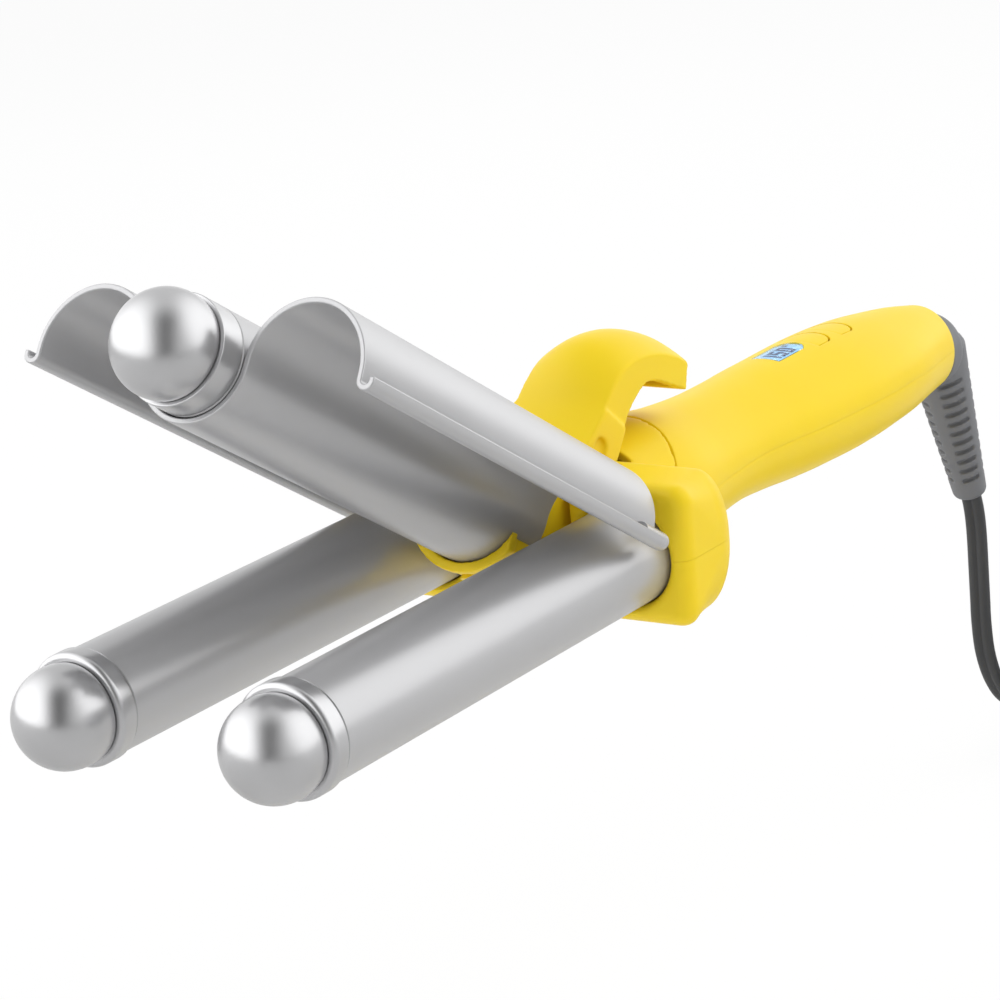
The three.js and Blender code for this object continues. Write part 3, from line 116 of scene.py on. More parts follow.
turns_per_layer = COIL_TURNS / COIL_LAYERS
coil_outer = COIL_INNER + (CORD_WIDTH + COIL_GAP) * turns_per_layer
coil_centre = Vector((coil_outer, CORD_ROUTE[-1][0] + COIL_CLEARANCE + CORD_WIDTH, 0.0))


def coil_point(turns):
    """The cord's middle after so many turns, with the direction of its width."""
    sweep = turns / turns_per_layer
    part = sweep - math.floor(sweep)
    inward = 1 - part if math.floor(sweep) % 2 == 0 else part
    radius = COIL_INNER + (coil_outer - COIL_INNER) * inward
    nearest = min(max(math.floor(sweep + 0.5), 1), COIL_LAYERS - 1)
    climb = min(max((turns - nearest * turns_per_layer) / LAYER_CHANGE + 0.5, 0.0), 1.0)
    climb = climb * climb * (3 - 2 * climb)
    height = COIL_TOP - (CORD_HEIGHT + COIL_GAP) * (nearest - 1 + climb)
    angle = math.pi - 2 * math.pi * turns
    out = Vector((math.cos(angle), math.sin(angle), 0.0))
    return coil_centre + out * radius + Vector((0, 0, height)), out


sideways = Vector((1.0, 0.0, 0.0))
cord_line = []
for point in smooth_line([Vector((0, y, z)) for y, z in CORD_ROUTE], CORD_STEP):
    cord_line.append((point, sideways))
for i in range(COIL_TURNS * COIL_STEPS + 1):
    cord_line.append(coil_point(i / COIL_STEPS))
for point in smooth_line([Vector((0, y, z)) for y, z in TAIL_ROUTE], CORD_STEP):
    cord_line.append((point, sideways))

# Two round cores side by side with a groove between them
cord_section = []
core = CORD_HEIGHT / 2
for side in (1, -1):
    for i in range(CORE_STEPS + 1):
        angle = math.radians(CORE_ARC * (2 * i / CORE_STEPS - 1))
        across = side * (CORD_WIDTH / 2 - core + core * math.cos(angle))
        cord_section.append((across, side * core * math.sin(angle)))


def built(name, points, faces):
    """A piece from points in millimetres and the faces between them."""
    mesh = bpy.data.meshes.new(name)
    mesh.from_pydata([Vector(p) * MM for p in points], [], faces)
    form = bmesh.new()
    form.from_mesh(mesh)
    bmesh.ops.remove_doubles(form, verts=form.verts, dist=WELD)
    bmesh.ops.recalc_face_normals(form, faces=form.faces)
    form.to_mesh(mesh)
    form.free()
    piece = bpy.data.objects.new(name, mesh)
    bpy.context.scene.collection.objects.link(piece)
    return piece


def skin(name, rings, closed_ends=True):
    """A piece whose skin runs through rings of points, all in millimetres."""
    count = len(rings[0])
    faces = []
    for k in range(len(rings) - 1):
        for i in range(count):
            j = (i + 1) % count
            faces.append((k * count + i, k * count + j, (k + 1) * count + j, (k + 1) * count + i))
    if closed_ends:
        last = (len(rings) - 1) * count
        faces.append(tuple(reversed(range(count))))
        faces.append(tuple(range(last, last + count)))
    return built(name, [p for ring in rings for p in ring], faces)


def shade(piece, sharp=35):
    """Smooth shading, but for edges sharper than the given angle in degrees."""
    piece.data.shade_smooth()
    piece.data.set_sharp_from_angle(angle=math.radians(sharp))


cord_rings = []
for i, (point, across) in enumerate(cord_line):
    before = cord_line[max(i - 1, 0)][0]
    after = cord_line[min(i + 1, len(cord_line) - 1)][0]
    run = (after - before).normalized()
    across = (across - run * across.dot(run)).normalized()
    up = across.cross(run)
    cord_rings.append([point + across * a + up * b for a, b in cord_section])
cord = skin("cord_run", cord_rings)
shade(cord, sharp=60)
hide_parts("cord", "cord_coil", "cord_tail")
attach(cord, "root")

# A surface's fine grain and soft clouding, shared by every finish: the grain goes to the bump
# and the clouding to colour and roughness.
CLOUD_LOW = 0.35
CLOUD_HIGH = 0.65
grain = bpy.data.node_groups.new("surface_grain", "ShaderNodeTree")
for label, value in (("Scale", 900.0), ("Bump", 0.1), ("Cloud Scale", 30.0)):
    socket = grain.interface.new_socket(name=label, in_out="INPUT", socket_type="NodeSocketFloat")
    socket.default_value = value
grain.interface.new_socket(name="Normal", in_out="OUTPUT", socket_type="NodeSocketVector")
grain.interface.new_socket(name="Cloud", in_out="OUTPUT", socket_type="NodeSocketFloat")
group_in = grain.nodes.new("NodeGroupInput")
group_out = grain.nodes.new("NodeGroupOutput")
place = grain.nodes.new("ShaderNodeTexCoord")
fine = grain.nodes.new("ShaderNodeTexNoise")
fine.inputs["Detail"].default_value = 3.0
cloud = grain.nodes.new("ShaderNodeTexNoise")
cloud.inputs["Detail"].default_value = 4.0
cloud.inputs["Roughness"].default_value = 0.6
bump = grain.nodes.new("ShaderNodeBump")
bump.inputs["Distance"].default_value = 0.0002
for start, end in (
    (place.outputs["Object"], fine.inputs["Vector"]),
    (place.outputs["Object"], cloud.inputs["Vector"]),
    (group_in.outputs["Scale"], fine.inputs["Scale"]),
    (group_in.outputs["Cloud Scale"], cloud.inputs["Scale"]),
    (group_in.outputs["Bump"], bump.inputs["Strength"]),
    (fine.outputs["Fac"], bump.inputs["Height"]),
    (bump.outputs["Normal"], group_out.inputs["Normal"]),
    (cloud.outputs["Fac"], group_out.inputs["Cloud"]),
):
    grain.links.new(start, end)


def finish(name, dark, light, rough, metallic=0.0, scale=900.0, bump=0.1, clouds=30.0, **sockets):
    """A finish whose colour and roughness drift between two values with the shared clouding."""
    material = bpy.data.materials.new(name)
    material.use_nodes = True
    tree = material.node_tree
    shader = tree.nodes["Principled BSDF"]
    surface = tree.nodes.new("ShaderNodeGroup")
    surface.node_tree = grain
    surface.inputs["Scale"].default_value = scale
    surface.inputs["Bump"].default_value = bump
    surface.inputs["Cloud Scale"].default_value = clouds
    blend = tree.nodes.new("ShaderNodeMix")
    blend.data_type = "RGBA"
    blend.inputs["A"].default_value = (*dark, 1.0)
    blend.inputs["B"].default_value = (*light, 1.0)
    spread = tree.nodes.new("ShaderNodeMapRange")
    spread.inputs["From Min"].default_value = CLOUD_LOW
    spread.inputs["From Max"].default_value = CLOUD_HIGH
    spread.inputs["To Min"].default_value = rough[0]
    spread.inputs["To Max"].default_value = rough[1]
    tree.links.new(surface.outputs["Cloud"], blend.inputs["Factor"])
    tree.links.new(surface.outputs["Cloud"], spread.inputs["Value"])
    tree.links.new(blend.outputs["Result"], shader.inputs["Base Color"])
    tree.links.new(spread.outputs["Result"], shader.inputs["Roughness"])
    tree.links.new(surface.outputs["Normal"], shader.inputs["Normal"])
    shader.inputs["Metallic"].default_value = metallic
    for label, value in sockets.items():
        shader.inputs[label.replace("_", " ")].default_value = value
    return material


def dress(piece, material):
    """The piece takes one material and no other."""
    piece.data.materials.clear()
    piece.data.materials.append(material)


jacket = finish(
    "cord_jacket", (0.03, 0.031, 0.033), (0.043, 0.044, 0.047), (0.42, 0.52), scale=2500, bump=0.15,
)
dress(cord, jacket)

# The barrels are thin tubes with a satin silver coating; two are fixed and the clamp carries
# the middle one. The clamp's pieces are drawn closed, and clamp_open turns them to where the
# photograph shows them.
TIP_Y = -300.0
BARREL_X = 28.5
BARREL_RADIUS = 12.7
BARREL_BORE = 11.5
BARREL_REAR = -146.0
TIP_REAR = 3.2
SEAT_GAP = 0.3
EDGE = 0.25
COLLAR_GROOVE = 0.8
BAND_GROOVE = 0.25
SHEET_FRONT = TIP_Y + 10.7
COLLAR_LENGTH = 4.8
BAND_LENGTH = SHEET_FRONT - TIP_Y - TIP_REAR - 2 * SEAT_GAP
ROOT_FRONT = TIP_Y + 136.1
HINGE_Y = -150.95
HINGE_Z = 13.2
CLAMP_LEAD = 2.0
OPEN_ANGLE = 31.85
hinge_place = Vector((0.0, HINGE_Y, HINGE_Z)) * MM
clamp_open = (
    Matrix.Translation(hinge_place)
    @ Matrix.Rotation(-math.radians(OPEN_ANGLE), 4, "X")
    @ Matrix.Translation(-hinge_place - Vector((0.0, CLAMP_LEAD * MM, 0.0)))
)


def turned(name, profile, x=0.0, z=0.0, steps=96):
    """A turned piece about a line along Y; the profile is a list of radius and y."""
    rings = []
    for i in range(steps):
        angle = 2 * math.pi * i / steps
        rings.append([(x + r * math.cos(angle), y, z + r * math.sin(angle)) for r, y in profile])
    return skin(name, rings + [rings[0]], closed_ends=False)


def arc(cx, cy, radius, start, end, steps):
    """Points of an arc, from one angle to another in degrees."""
    angles = [math.radians(start + (end - start) * i / steps) for i in range(steps + 1)]
    return [(cx + radius * math.cos(a), cy + radius * math.sin(a)) for a in angles]


def set_on(piece, body, node, material):
    """The piece replaces a node, rides with its body and takes its finish."""
    if body == "clamp":
        piece.data.transform(clamp_open)
    dress(piece, material)
    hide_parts(node)
    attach(piece, body)


coating = finish(
    "barrel_coating", (0.48, 0.48, 0.488), (0.51, 0.51, 0.518), (0.32, 0.36), metallic=0.45,
    scale=1100, bump=0.02, clouds=18,
)
for name, x, ring_length, groove, rear, body in (
    ("barrel_left", -BARREL_X, COLLAR_LENGTH, COLLAR_GROOVE, BARREL_REAR, "root"),
    ("barrel_right", BARREL_X, COLLAR_LENGTH, COLLAR_GROOVE, BARREL_REAR, "root"),
    ("barrel_centre", 0.0, BAND_LENGTH, BAND_GROOVE, ROOT_FRONT - SEAT_GAP, "clamp"),
):
    front = TIP_Y + TIP_REAR + SEAT_GAP + ring_length + groove
    profile = [
        (BARREL_BORE, front + EDGE), (BARREL_BORE + EDGE, front),
        (BARREL_RADIUS - EDGE, front), (BARREL_RADIUS, front + EDGE),
        (BARREL_RADIUS, rear), (BARREL_BORE, rear), (BARREL_BORE, front + EDGE),
    ]
    tube = turned(name + "_tube", profile, x)
    shade(tube)
    set_on(tube, body, name, coating)

# The domed tips and the collars behind them, in a silver paint with a fine metallic fleck. The
# middle barrel's band lies flush with it, and its tip is wider and flatter than the other two.
TIP_RADIUS = 11.85
CENTRE_TIP_RADIUS = 12.2
CENTRE_TIP_REACH = 10.8
SPIGOT_RADIUS = 9.6
SPIGOT_LENGTH = 9.0
COLLAR_PLUG = 6.0
COLLAR_RADIUS = 13.3
COLLAR_ROUND = 1.4
BAND_RADIUS = 12.72
BAND_ROUND = 0.3
SPIGOT_GAP = 0.15
paint = finish(
    "tip_paint", (0.53, 0.53, 0.538), (0.57, 0.57, 0.578), (0.29, 0.33), metallic=0.85,
    scale=1600, bump=0.04, clouds=40,
)
rear_angle = math.degrees(math.asin(TIP_REAR / TIP_RADIUS))
spigot_end = TIP_Y + TIP_REAR + SPIGOT_LENGTH
for side, x, radius, reach, body in (
    ("left", -BARREL_X, TIP_RADIUS, TIP_RADIUS, "root"),
    ("right", BARREL_X, TIP_RADIUS, TIP_RADIUS, "root"),
    ("centre", 0.0, CENTRE_TIP_RADIUS, CENTRE_TIP_REACH, "clamp"),
):
    dome = []
    for r, y in arc(0, 0, TIP_RADIUS, -90, rear_angle, 40):
        flatten = reach / TIP_RADIUS if y < 0 else 1
        dome.append((max(r, 0.0) * radius / TIP_RADIUS, TIP_Y + y * flatten))
    tip = turned(f"tip_{side}_dome", dome + [
        (SPIGOT_RADIUS, TIP_Y + TIP_REAR + SPIGOT_GAP),
        (SPIGOT_RADIUS, spigot_end), (0.0, spigot_end),
    ], x)
    shade(tip)
    set_on(tip, body, f"tip_{side}", paint)


def collar(name, x, outer, length, round_front):
    """A ring between the dome and the barrel, with a plug in the barrel's bore."""
    front = TIP_Y + TIP_REAR + SEAT_GAP
    inner = SPIGOT_RADIUS + SEAT_GAP
    plug = BARREL_BORE - SEAT_GAP
    profile = [
        (inner, front),
        *arc(outer - round_front, front + round_front, round_front, -90, 0, 10),
        *arc(outer - EDGE, front + length - EDGE, EDGE, 0, 90, 5),
        (plug, front + length),
        (plug, front + length + COLLAR_PLUG),
        (inner, front + length + COLLAR_PLUG),
        (inner, front),
    ]
    ring = turned(name, profile, x)
    shade(ring)
    return ring


for side, x in (("left", -BARREL_X), ("right", BARREL_X)):
    ring = collar(f"collar_{side}_ring", x, COLLAR_RADIUS, COLLAR_LENGTH, COLLAR_ROUND)
    set_on(ring, "root", f"collar_{side}", paint)
band = collar("band_centre_ring", 0.0, BAND_RADIUS, BAND_LENGTH, BAND_ROUND)
set_on(band, "clamp", "band_centre", paint)

# The wave plate: one thin sheet with the barrels' silver coating. It troughs under the middle
# barrel, arches over the fixed ones and rolls up into a hook along each outer edge, with a rod in
# each hook.
SHEET = 1.3
TROUGH_RADIUS = BARREL_RADIUS + SEAT_GAP + SHEET / 2
ARCH_RADIUS = BARREL_X - TROUGH_RADIUS
SHEET_REAR = TIP_Y + 135.6
HOOK_RADIUS = 1.6
LEG_DROP = 1.5
HOOK_LIP = 0.8
ROD_RADIUS = 2.2
ROD_REACH = 4.0
ROD_IN_HOOK = 8
leg_x = BARREL_X + ARCH_RADIUS


def sheet_half(offset):
    """The right half of the sheet's front outline, beside its middle line."""
    return [
        *arc(0, 0, TROUGH_RADIUS + offset, -90, 0, 24),
        *arc(BARREL_X, 0, ARCH_RADIUS - offset, 180, 0, 48)[1:-1],
        (leg_x - offset, 0),
        *arc(leg_x + HOOK_RADIUS, -LEG_DROP, HOOK_RADIUS + offset, 180, 360, 16),
        (leg_x + 2 * HOOK_RADIUS + offset, -LEG_DROP + HOOK_LIP),
    ]


def mirrored(points):
    """The same outline on the other side of the middle, run backwards."""
    return [(-x, z) for x, z in reversed(points)]


under = sheet_half(SHEET / 2)
over = sheet_half(-SHEET / 2)
under_line = mirrored(under)[:-1] + under
over_line = mirrored(over)[:-1] + over
count = len(under_line)
corners = []
for y in (SHEET_FRONT, SHEET_REAR):
    corners += [(x, y, z) for x, z in under_line] + [(x, y, z) for x, z in over_line]
faces = []
for i in range(count - 1):
    a, b = i, i + 1
    for low, high in ((0, 2 * count), (3 * count, count)):
        faces.append((low + a, low + b, high + b, high + a))
    faces.append((a, a + count, b + count, b))
    faces.append((a + 2 * count, b + 2 * count, b + 3 * count, a + 3 * count))
for i in (0, count - 1):
    faces.append((i, i + 2 * count, i + 3 * count, i + count))
wave_plate = built("wave_plate_sheet", corners, faces)


def soften(piece, width, segments=3, sharp=50):
    """Rounds the edges that are sharper than the given angle in degrees."""
    step = piece.modifiers.new("soften", "BEVEL")
    step.width = width * MM
    step.segments = segments
    step.limit_method = "ANGLE"
    step.angle_limit = math.radians(sharp)


soften(wave_plate, width=0.3)
shade(wave_plate, sharp=50)
set_on(wave_plate, "clamp", "wave_plate", coating)
for side in (-1, 1):
    end = SHEET_REAR + ROD_REACH
    nose = [(max(r, 0.0), y) for r, y in arc(0, end - ROD_RADIUS, ROD_RADIUS, 0, 90, 10)]
    name = "wave_plate_rod_" + ("left" if side < 0 else "right")
    start = SHEET_REAR - ROD_IN_HOOK
    hook_rod = turned(name, [(0.0, start), (ROD_RADIUS, start), *nose],
                      side * (leg_x + HOOK_RADIUS), -LEG_DROP, steps=32)
    shade(hook_rod)
    set_on(hook_rod, "clamp", "wave_plate", coating)

# The clamp lever, moulded in one in yellow plastic: a hooded thumb tab with a hollow back, two ears
# on the hinge pin, a root behind the middle barrel, and a cradle under the wave plate's trough that
# a screw holds to the barrel.
LEVER_HALF = 13.0
LEVER_WALL = 2.6
# A section of the hood, as y from the tips and height: its back, its sides' lower edges, its crown
LEVER_STATIONS = [
    (146, 21.5, 161.2, 19.5, 1), (148.6, 27, 162.2, 25, 1.2), (151.2, 33.1, 162.4, 31.5, 1.8),
    (153.4, 39, 163.2, 36, 2.8), (156.3, 44.4, 164.8, 40, 4), (160.3, 48.4, 166.5, 43, 5.2),
    (165.6, 51.5, 168.8, 45.3, 5.5), (171.5, 53.8, 173.2, 46.9, 5.3),
    (178.4, 55.3, 179.2, 47.9, 5), (185.3, 55.7, 187.3, 49, 4.5),
]
CROWN_STEPS = 12
STATION_STEP = 1.5
TAB_END = 2.4
EAR_HALF = 13.8
EAR_THICKNESS = 4.2
EAR_RADIUS = 5.4
EAR_RECESS_PLACE = (TIP_Y + 152.6, 21.2)
EAR_RECESS_SIZE = (5.4, 9.4, 1.3)
CRADLE_FRONT = TIP_Y + 123
CRADLE_WALL = 1.9
CRADLE_INNER = TROUGH_RADIUS + SHEET / 2 + SEAT_GAP
CRADLE_OUTER = CRADLE_INNER + CRADLE_WALL
CRADLE_BEAD = 0.6
CRADLE_BEAD_LENGTH = 2.2
CRADLE_BEAD_END = 3.2
CRADLE_TOP = -4.0
CRADLE_ARC = (-143, -37)
CLAMP_SCREW_Y = TIP_Y + 131
WELL_RADIUS = 3.1
WELL_FLOOR = 20
WELL_COVER = 0.7
SPRING_ROOM = 5.0
KEEL_RADIUS = 13.2
RUN_GAP = 0.7
# The root's upper outline, from the middle barrel up to the hood: y from the tips, and height
ROOT_TOP = [
    (139, 14.3), (142, 16), (145.5, 19), (148.5, 22.6),
    (151.5, 30), (154.5, 30), (151.5, 22), (148.5, 18.5),
]
yellow = finish(
    "yellow_plastic", (0.86, 0.615, 0.012), (0.89, 0.65, 0.017), (0.36, 0.44),
    scale=1500, bump=0.05, clouds=14,
    Specular_IOR_Level=0.25, Subsurface_Weight=0.05, Subsurface_Scale=0.002,
)


def bake(piece):
    """Keeps what the piece's modifiers make as its mesh."""
    seen = piece.evaluated_get(bpy.context.evaluated_depsgraph_get())
    mesh = bpy.data.meshes.new_from_object(seen)
    piece.modifiers.clear()
    piece.data = mesh


def carve(piece, tool, operation="DIFFERENCE"):
    """Cuts the tool from the piece, joins the two or keeps what they share."""
    step = piece.modifiers.new("carve", "BOOLEAN")
    step.object = tool
    step.operation = operation
    step.solver = "EXACT"
    bake(piece)
    bpy.data.objects.remove(tool)


def extruded(name, outline, low, high, plane):
    """A prism: its outline lies along the plane's two letters and its depth along the third."""
    axes = {"YZ": (1, 2, 0), "XZ": (0, 2, 1), "XY": (0, 1, 2)}[plane]
    rings = []
    for depth in (low, high):
        ring = []
        for a, b in outline:
            point = [0.0, 0.0, 0.0]
            point[axes[0]], point[axes[1]], point[axes[2]] = a, b, depth
            ring.append(point)
        rings.append(ring)
    return skin(name, rings)


def circle(a, b, radius):
    """The outline of a round hole or boss."""
    return arc(a, b, radius, 0, 345, 23)


def moulded(piece, voxel, passes):
    """A fine even mesh, eased so that the edges are as round as a mould leaves them."""
    even = piece.modifiers.new("even", "REMESH")
    even.mode = "VOXEL"
    even.voxel_size = voxel * MM
    ease = piece.modifiers.new("ease", "SMOOTH")
    ease.factor = 0.5
    ease.iterations = passes
    bake(piece)
    piece.data.shade_smooth()


def hood_ring(station, wall, closed):
    """A section of the hood: a crowned back with two sides, and hollow unless it is closed."""
    outer_y, outer_z, inner_y, inner_z, rise = station
    out = Vector((0.0, outer_y - inner_y, outer_z - inner_z)).normalized()

    def line(half, down):
        points = [Vector((-half, TIP_Y + inner_y, inner_z))]
        for i in range(2 * CROWN_STEPS + 1):
            x = half * (i / CROWN_STEPS - 1)
            lift = rise * (1 - (x / LEVER_HALF) ** 2) - down
            points.append(Vector((x, TIP_Y + outer_y, outer_z)) + out * lift)
        return points + [Vector((half, TIP_Y + inner_y, inner_z))]

    if closed:
        return line(LEVER_HALF, 0)
    return line(LEVER_HALF, 0) + line(LEVER_HALF - wall, wall)[::-1]


station_line = smooth_line([Vector(s) for s in LEVER_STATIONS], STATION_STEP)
lever = skin("clamp_lever_moulding", [hood_ring(s, LEVER_WALL, False) for s in station_line])
tab, before = Vector(LEVER_STATIONS[-1]), Vector(LEVER_STATIONS[-2])
lip = tab + (before - tab) * (TAB_END / (tab[0] - before[0]))
carve(lever, skin("tab_end", [hood_ring(s, 0, True) for s in (lip, tab)]), "UNION")
hinge_y = HINGE_Y + CLAMP_LEAD
first, third = LEVER_STATIONS[0], LEVER_STATIONS[2]
ear = [
    (TIP_Y + first[0], first[1]),
    *arc(hinge_y, HINGE_Z, EAR_RADIUS, 170, 350, 24),
    (TIP_Y + first[2], first[3]), (TIP_Y + third[2], third[3]), (TIP_Y + third[0], third[1]),
]
width, length, depth = EAR_RECESS_SIZE
recess_y, recess_z = EAR_RECESS_PLACE
pill = (arc(recess_y, recess_z + (length - width) / 2, width / 2, 0, 180, 12)
        + arc(recess_y, recess_z - (length - width) / 2, width / 2, 180, 360, 12))
for side in (-1, 1):
    ends = sorted((side * (EAR_HALF - EAR_THICKNESS), side * EAR_HALF))
    carve(lever, extruded("ear", ear, *ends, "YZ"), "UNION")
low = -KEEL_RADIUS
clear = EAR_RADIUS + RUN_GAP
root = [
    (ROOT_FRONT, low), (ROOT_FRONT, BARREL_RADIUS + SEAT_GAP),
    *[(TIP_Y + y, z) for y, z in ROOT_TOP],
    (hinge_y - clear, HINGE_Z), (hinge_y - clear + 3, HINGE_Z - clear), (hinge_y, low),
]
carve(lever, extruded("root", root, -LEVER_HALF, LEVER_HALF, "YZ"), "UNION")


def sector(radius, y):
    """A cross-section of the cradle before its trough is cut: round below and flat on top."""
    points = arc(0, 0, radius, *CRADLE_ARC, 32)
    left, right = points[0][0], points[-1][0]
    return [(x, y, z) for x, z in [(left, CRADLE_TOP), *points, (right, CRADLE_TOP)]]


bead = CRADLE_OUTER + CRADLE_BEAD
cradle = skin("cradle", [
    sector(bead, CRADLE_FRONT), sector(bead, CRADLE_FRONT + CRADLE_BEAD_LENGTH),
    sector(CRADLE_OUTER, CRADLE_FRONT + CRADLE_BEAD_END), sector(CRADLE_OUTER, ROOT_FRONT),
    sector(KEEL_RADIUS, ROOT_FRONT + CRADLE_OUTER - KEEL_RADIUS), sector(KEEL_RADIUS, hinge_y),
])
carve(cradle, turned("trough", [
    (0, CRADLE_FRONT - 1), (CRADLE_INNER, CRADLE_FRONT - 1),
    (CRADLE_INNER, ROOT_FRONT), (0, ROOT_FRONT),
], steps=72))
carve(lever, cradle, "UNION")
well = circle(0, CLAMP_SCREW_Y, WELL_RADIUS)
carve(lever, extruded("screw_well", well, -WELL_FLOOR, -CRADLE_INNER - WELL_COVER, "XY"))
inner = EAR_HALF - EAR_THICKNESS
carve(lever, extruded("spring_room", circle(hinge_y, HINGE_Z, SPRING_ROOM), -inner, inner, "YZ"))
for side in (-1, 1):
    ends = sorted((side * (EAR_HALF - depth), side * (EAR_HALF + 1)))
    carve(lever, extruded("recess", pill, *ends, "YZ"))
moulded(lever, voxel=0.5, passes=6)
set_on(lever, "clamp", "clamp_lever", yellow)

# The housing round the rear of the fixed barrels, in the yellow plastic: straight in front, round
# behind, with a slot for the lever and a neck that runs to the oblique seam. Its halves meet at the
# barrels' middle, and two screws close them from below.
HOUSING_FRONT = -162.0
HOUSING_REAR = -135.0
HOUSING_HALF = 46.6
HOUSING_TOP = 18.0
HOUSING_BOTTOM = -17.2
FRONT_ROUND = 4.5
REAR_DEPTH = 10.0
REAR_HEIGHT = 16.5
SIDE_ROUND = 7.0
SIDE_START = 6
ROUND_STEPS = 16
SLOT_HALF = 14.5
SLOT_REAR = -132.0
SLOT_FLOOR = -14.0
NECK_FRONT = -139.0
NECK_REAR = -90.0
NECK_HOLLOW_REAR = -95.0
NECK_WALL = 2.6
SEAM_Y = -127.5
SEAM_SLOPE = 0.9
SEAM_LOWER_Y = -128.0
BORE_CHAMFER = (2.2, 1.2)
HOUSING_SCREWS = [(-31.0, -141.5), (31.0, -141.5)]
HOUSING_SCREW_DEPTH = 6
WELL_REACH = 12
WELL_PLAY = 0.3
HALVES_GAP = 0.05
FAR = 120.0
FAR_AHEAD = -260.0
ABOVE = 60.0
# A section of the neck and handle: y, half its width, half its height and the middle's height
HANDLE_SECTIONS = [
    (-139, 22.2, 19.3, 0), (-125, 22.2, 19.3, 0), (-110, 22.1, 19.2, 0), (-92, 19.5, 17, 0),
    (-74, 18, 15.7, 0.1), (-57, 18.4, 16, -0.3), (-46, 19.1, 16.6, -0.6), (-35, 19.6, 17, -0.9),
    (-24, 19.9, 17.3, -1), (-12, 20.2, 17.5, -1.1), (0, 20, 17.3, -1.2), (12, 19.3, 16.7, -1.3),
    (24, 17.8, 15.8, -1.7), (37, 14.9, 14.6, -2.2), (52, 11.6, 12.7, -3.2),
]


def read_line(column, y):
    """A section's value at y, on a smooth line through the handle's sections."""
    rows = HANDLE_SECTIONS
    i = max(k for k in range(len(rows) - 1) if rows[k][0] <= max(y, rows[0][0]))

    def slope(k):
        a, b = rows[max(k - 1, 0)], rows[min(k + 1, len(rows) - 1)]
        return (b[column] - a[column]) / (b[0] - a[0])

    run = rows[i + 1][0] - rows[i][0]
    t = (y - rows[i][0]) / run
    return (rows[i][column] * (1 + 2 * t) * (1 - t) ** 2 + run * slope(i) * t * (1 - t) ** 2
            + rows[i + 1][column] * t * t * (3 - 2 * t) + run * slope(i + 1) * t * t * (t - 1))


def handle_ring(y, inset, sides=96):
    """The handle's oval section at y, drawn in by the inset."""
    half_width, half_height, centre = [read_line(column, y) for column in (1, 2, 3)]
    width, height = half_width - inset, half_height - inset
    angles = [2 * math.pi * i / sides for i in range(sides)]
    return [(width * math.cos(a), y, centre + height * math.sin(a)) for a in angles]


def handle_form(name, inset, start, end, step=2.0):
    """A length of the handle's form, drawn in by the inset."""
    count = max(2, round((end - start) / step))
    places = [start + (end - start) * i / count for i in range(count + 1)]
    return skin(name, [handle_ring(y, inset) for y in places])


def ahead_of_seam(shift):
    """All that lies in front of the seam, which is upright below and oblique above."""
    bend = (SEAM_LOWER_Y - SEAM_Y) / SEAM_SLOPE
    outline = [(FAR_AHEAD, -FAR), (SEAM_LOWER_Y + shift, -FAR), (SEAM_LOWER_Y + shift, bend),
               (SEAM_Y + SEAM_SLOPE * FAR + shift, FAR), (FAR_AHEAD, FAR)]
    return extruded("seam", outline, -FAR, FAR, "YZ")


def swell(size, inset):
    """How full a rounding of the given size is at some way in from the side."""
    return math.sqrt(1 - (max(size - inset, 0) / size) ** 2)


def block_ring(x, inset):
    """The housing's outline at x, which lies some way in from its side."""
    ring = []
    for y, z, start in ((HOUSING_REAR, HOUSING_TOP, 0), (HOUSING_FRONT, HOUSING_TOP, 90),
                        (HOUSING_FRONT, HOUSING_BOTTOM, 180), (HOUSING_REAR, HOUSING_BOTTOM, 270)):
        if y == HOUSING_FRONT:
            deep, high, size = FRONT_ROUND, FRONT_ROUND, swell(FRONT_ROUND, inset)
            centre_y = y + deep
        else:
            deep, high, size = REAR_DEPTH, REAR_HEIGHT, swell(SIDE_ROUND, inset)
            centre_y = y - deep
        centre_z = z + (high if z == HOUSING_BOTTOM else -high)
        for a, b in arc(0, 0, size, start, start + 90, ROUND_STEPS):
            ring.append((x, centre_y + deep * a, centre_z + high * b))
    return ring


left, right = [], []
for i in range(ROUND_STEPS + 1):
    angle = math.radians(SIDE_START + (90 - SIDE_START) * i / ROUND_STEPS)
    inset = SIDE_ROUND * (1 - math.cos(angle))
    x = HOUSING_HALF - (inset if i else 0)
    left.append(block_ring(-x, inset))
    right.append(block_ring(x, inset))
housing = skin("housing", left + right[::-1])
carve(housing, handle_form("neck", 0, NECK_FRONT, NECK_REAR), "UNION")
carve(housing, ahead_of_seam(0), "INTERSECT")
chamfer_width, chamfer_depth = BORE_CHAMFER
for x in (-BARREL_X, BARREL_X):
    bore = BARREL_RADIUS + SEAT_GAP
    carve(housing, turned("bore", [
        (0, HOUSING_FRONT - 1), (bore + chamfer_width, HOUSING_FRONT - 1),
        (bore, HOUSING_FRONT + chamfer_depth),
        (bore, BARREL_REAR + SEAT_GAP), (0, BARREL_REAR + SEAT_GAP),
    ], x))
slot = [(-SLOT_HALF, SLOT_FLOOR), (SLOT_HALF, SLOT_FLOOR), (SLOT_HALF, ABOVE), (-SLOT_HALF, ABOVE)]
carve(housing, extruded("slot", slot, HOUSING_FRONT - 5, SLOT_REAR, "XZ"))
carve(housing, handle_form("neck_hollow", NECK_WALL, SLOT_REAR - 1, NECK_HOLLOW_REAR))
screw_seat = HOUSING_BOTTOM + HOUSING_SCREW_DEPTH
for x, y in HOUSING_SCREWS:
    well = circle(x, y, WELL_RADIUS)
    carve(housing, extruded("well", well, screw_seat - WELL_REACH, screw_seat + WELL_PLAY, "XY"))
moulded(housing, voxel=0.55, passes=8)


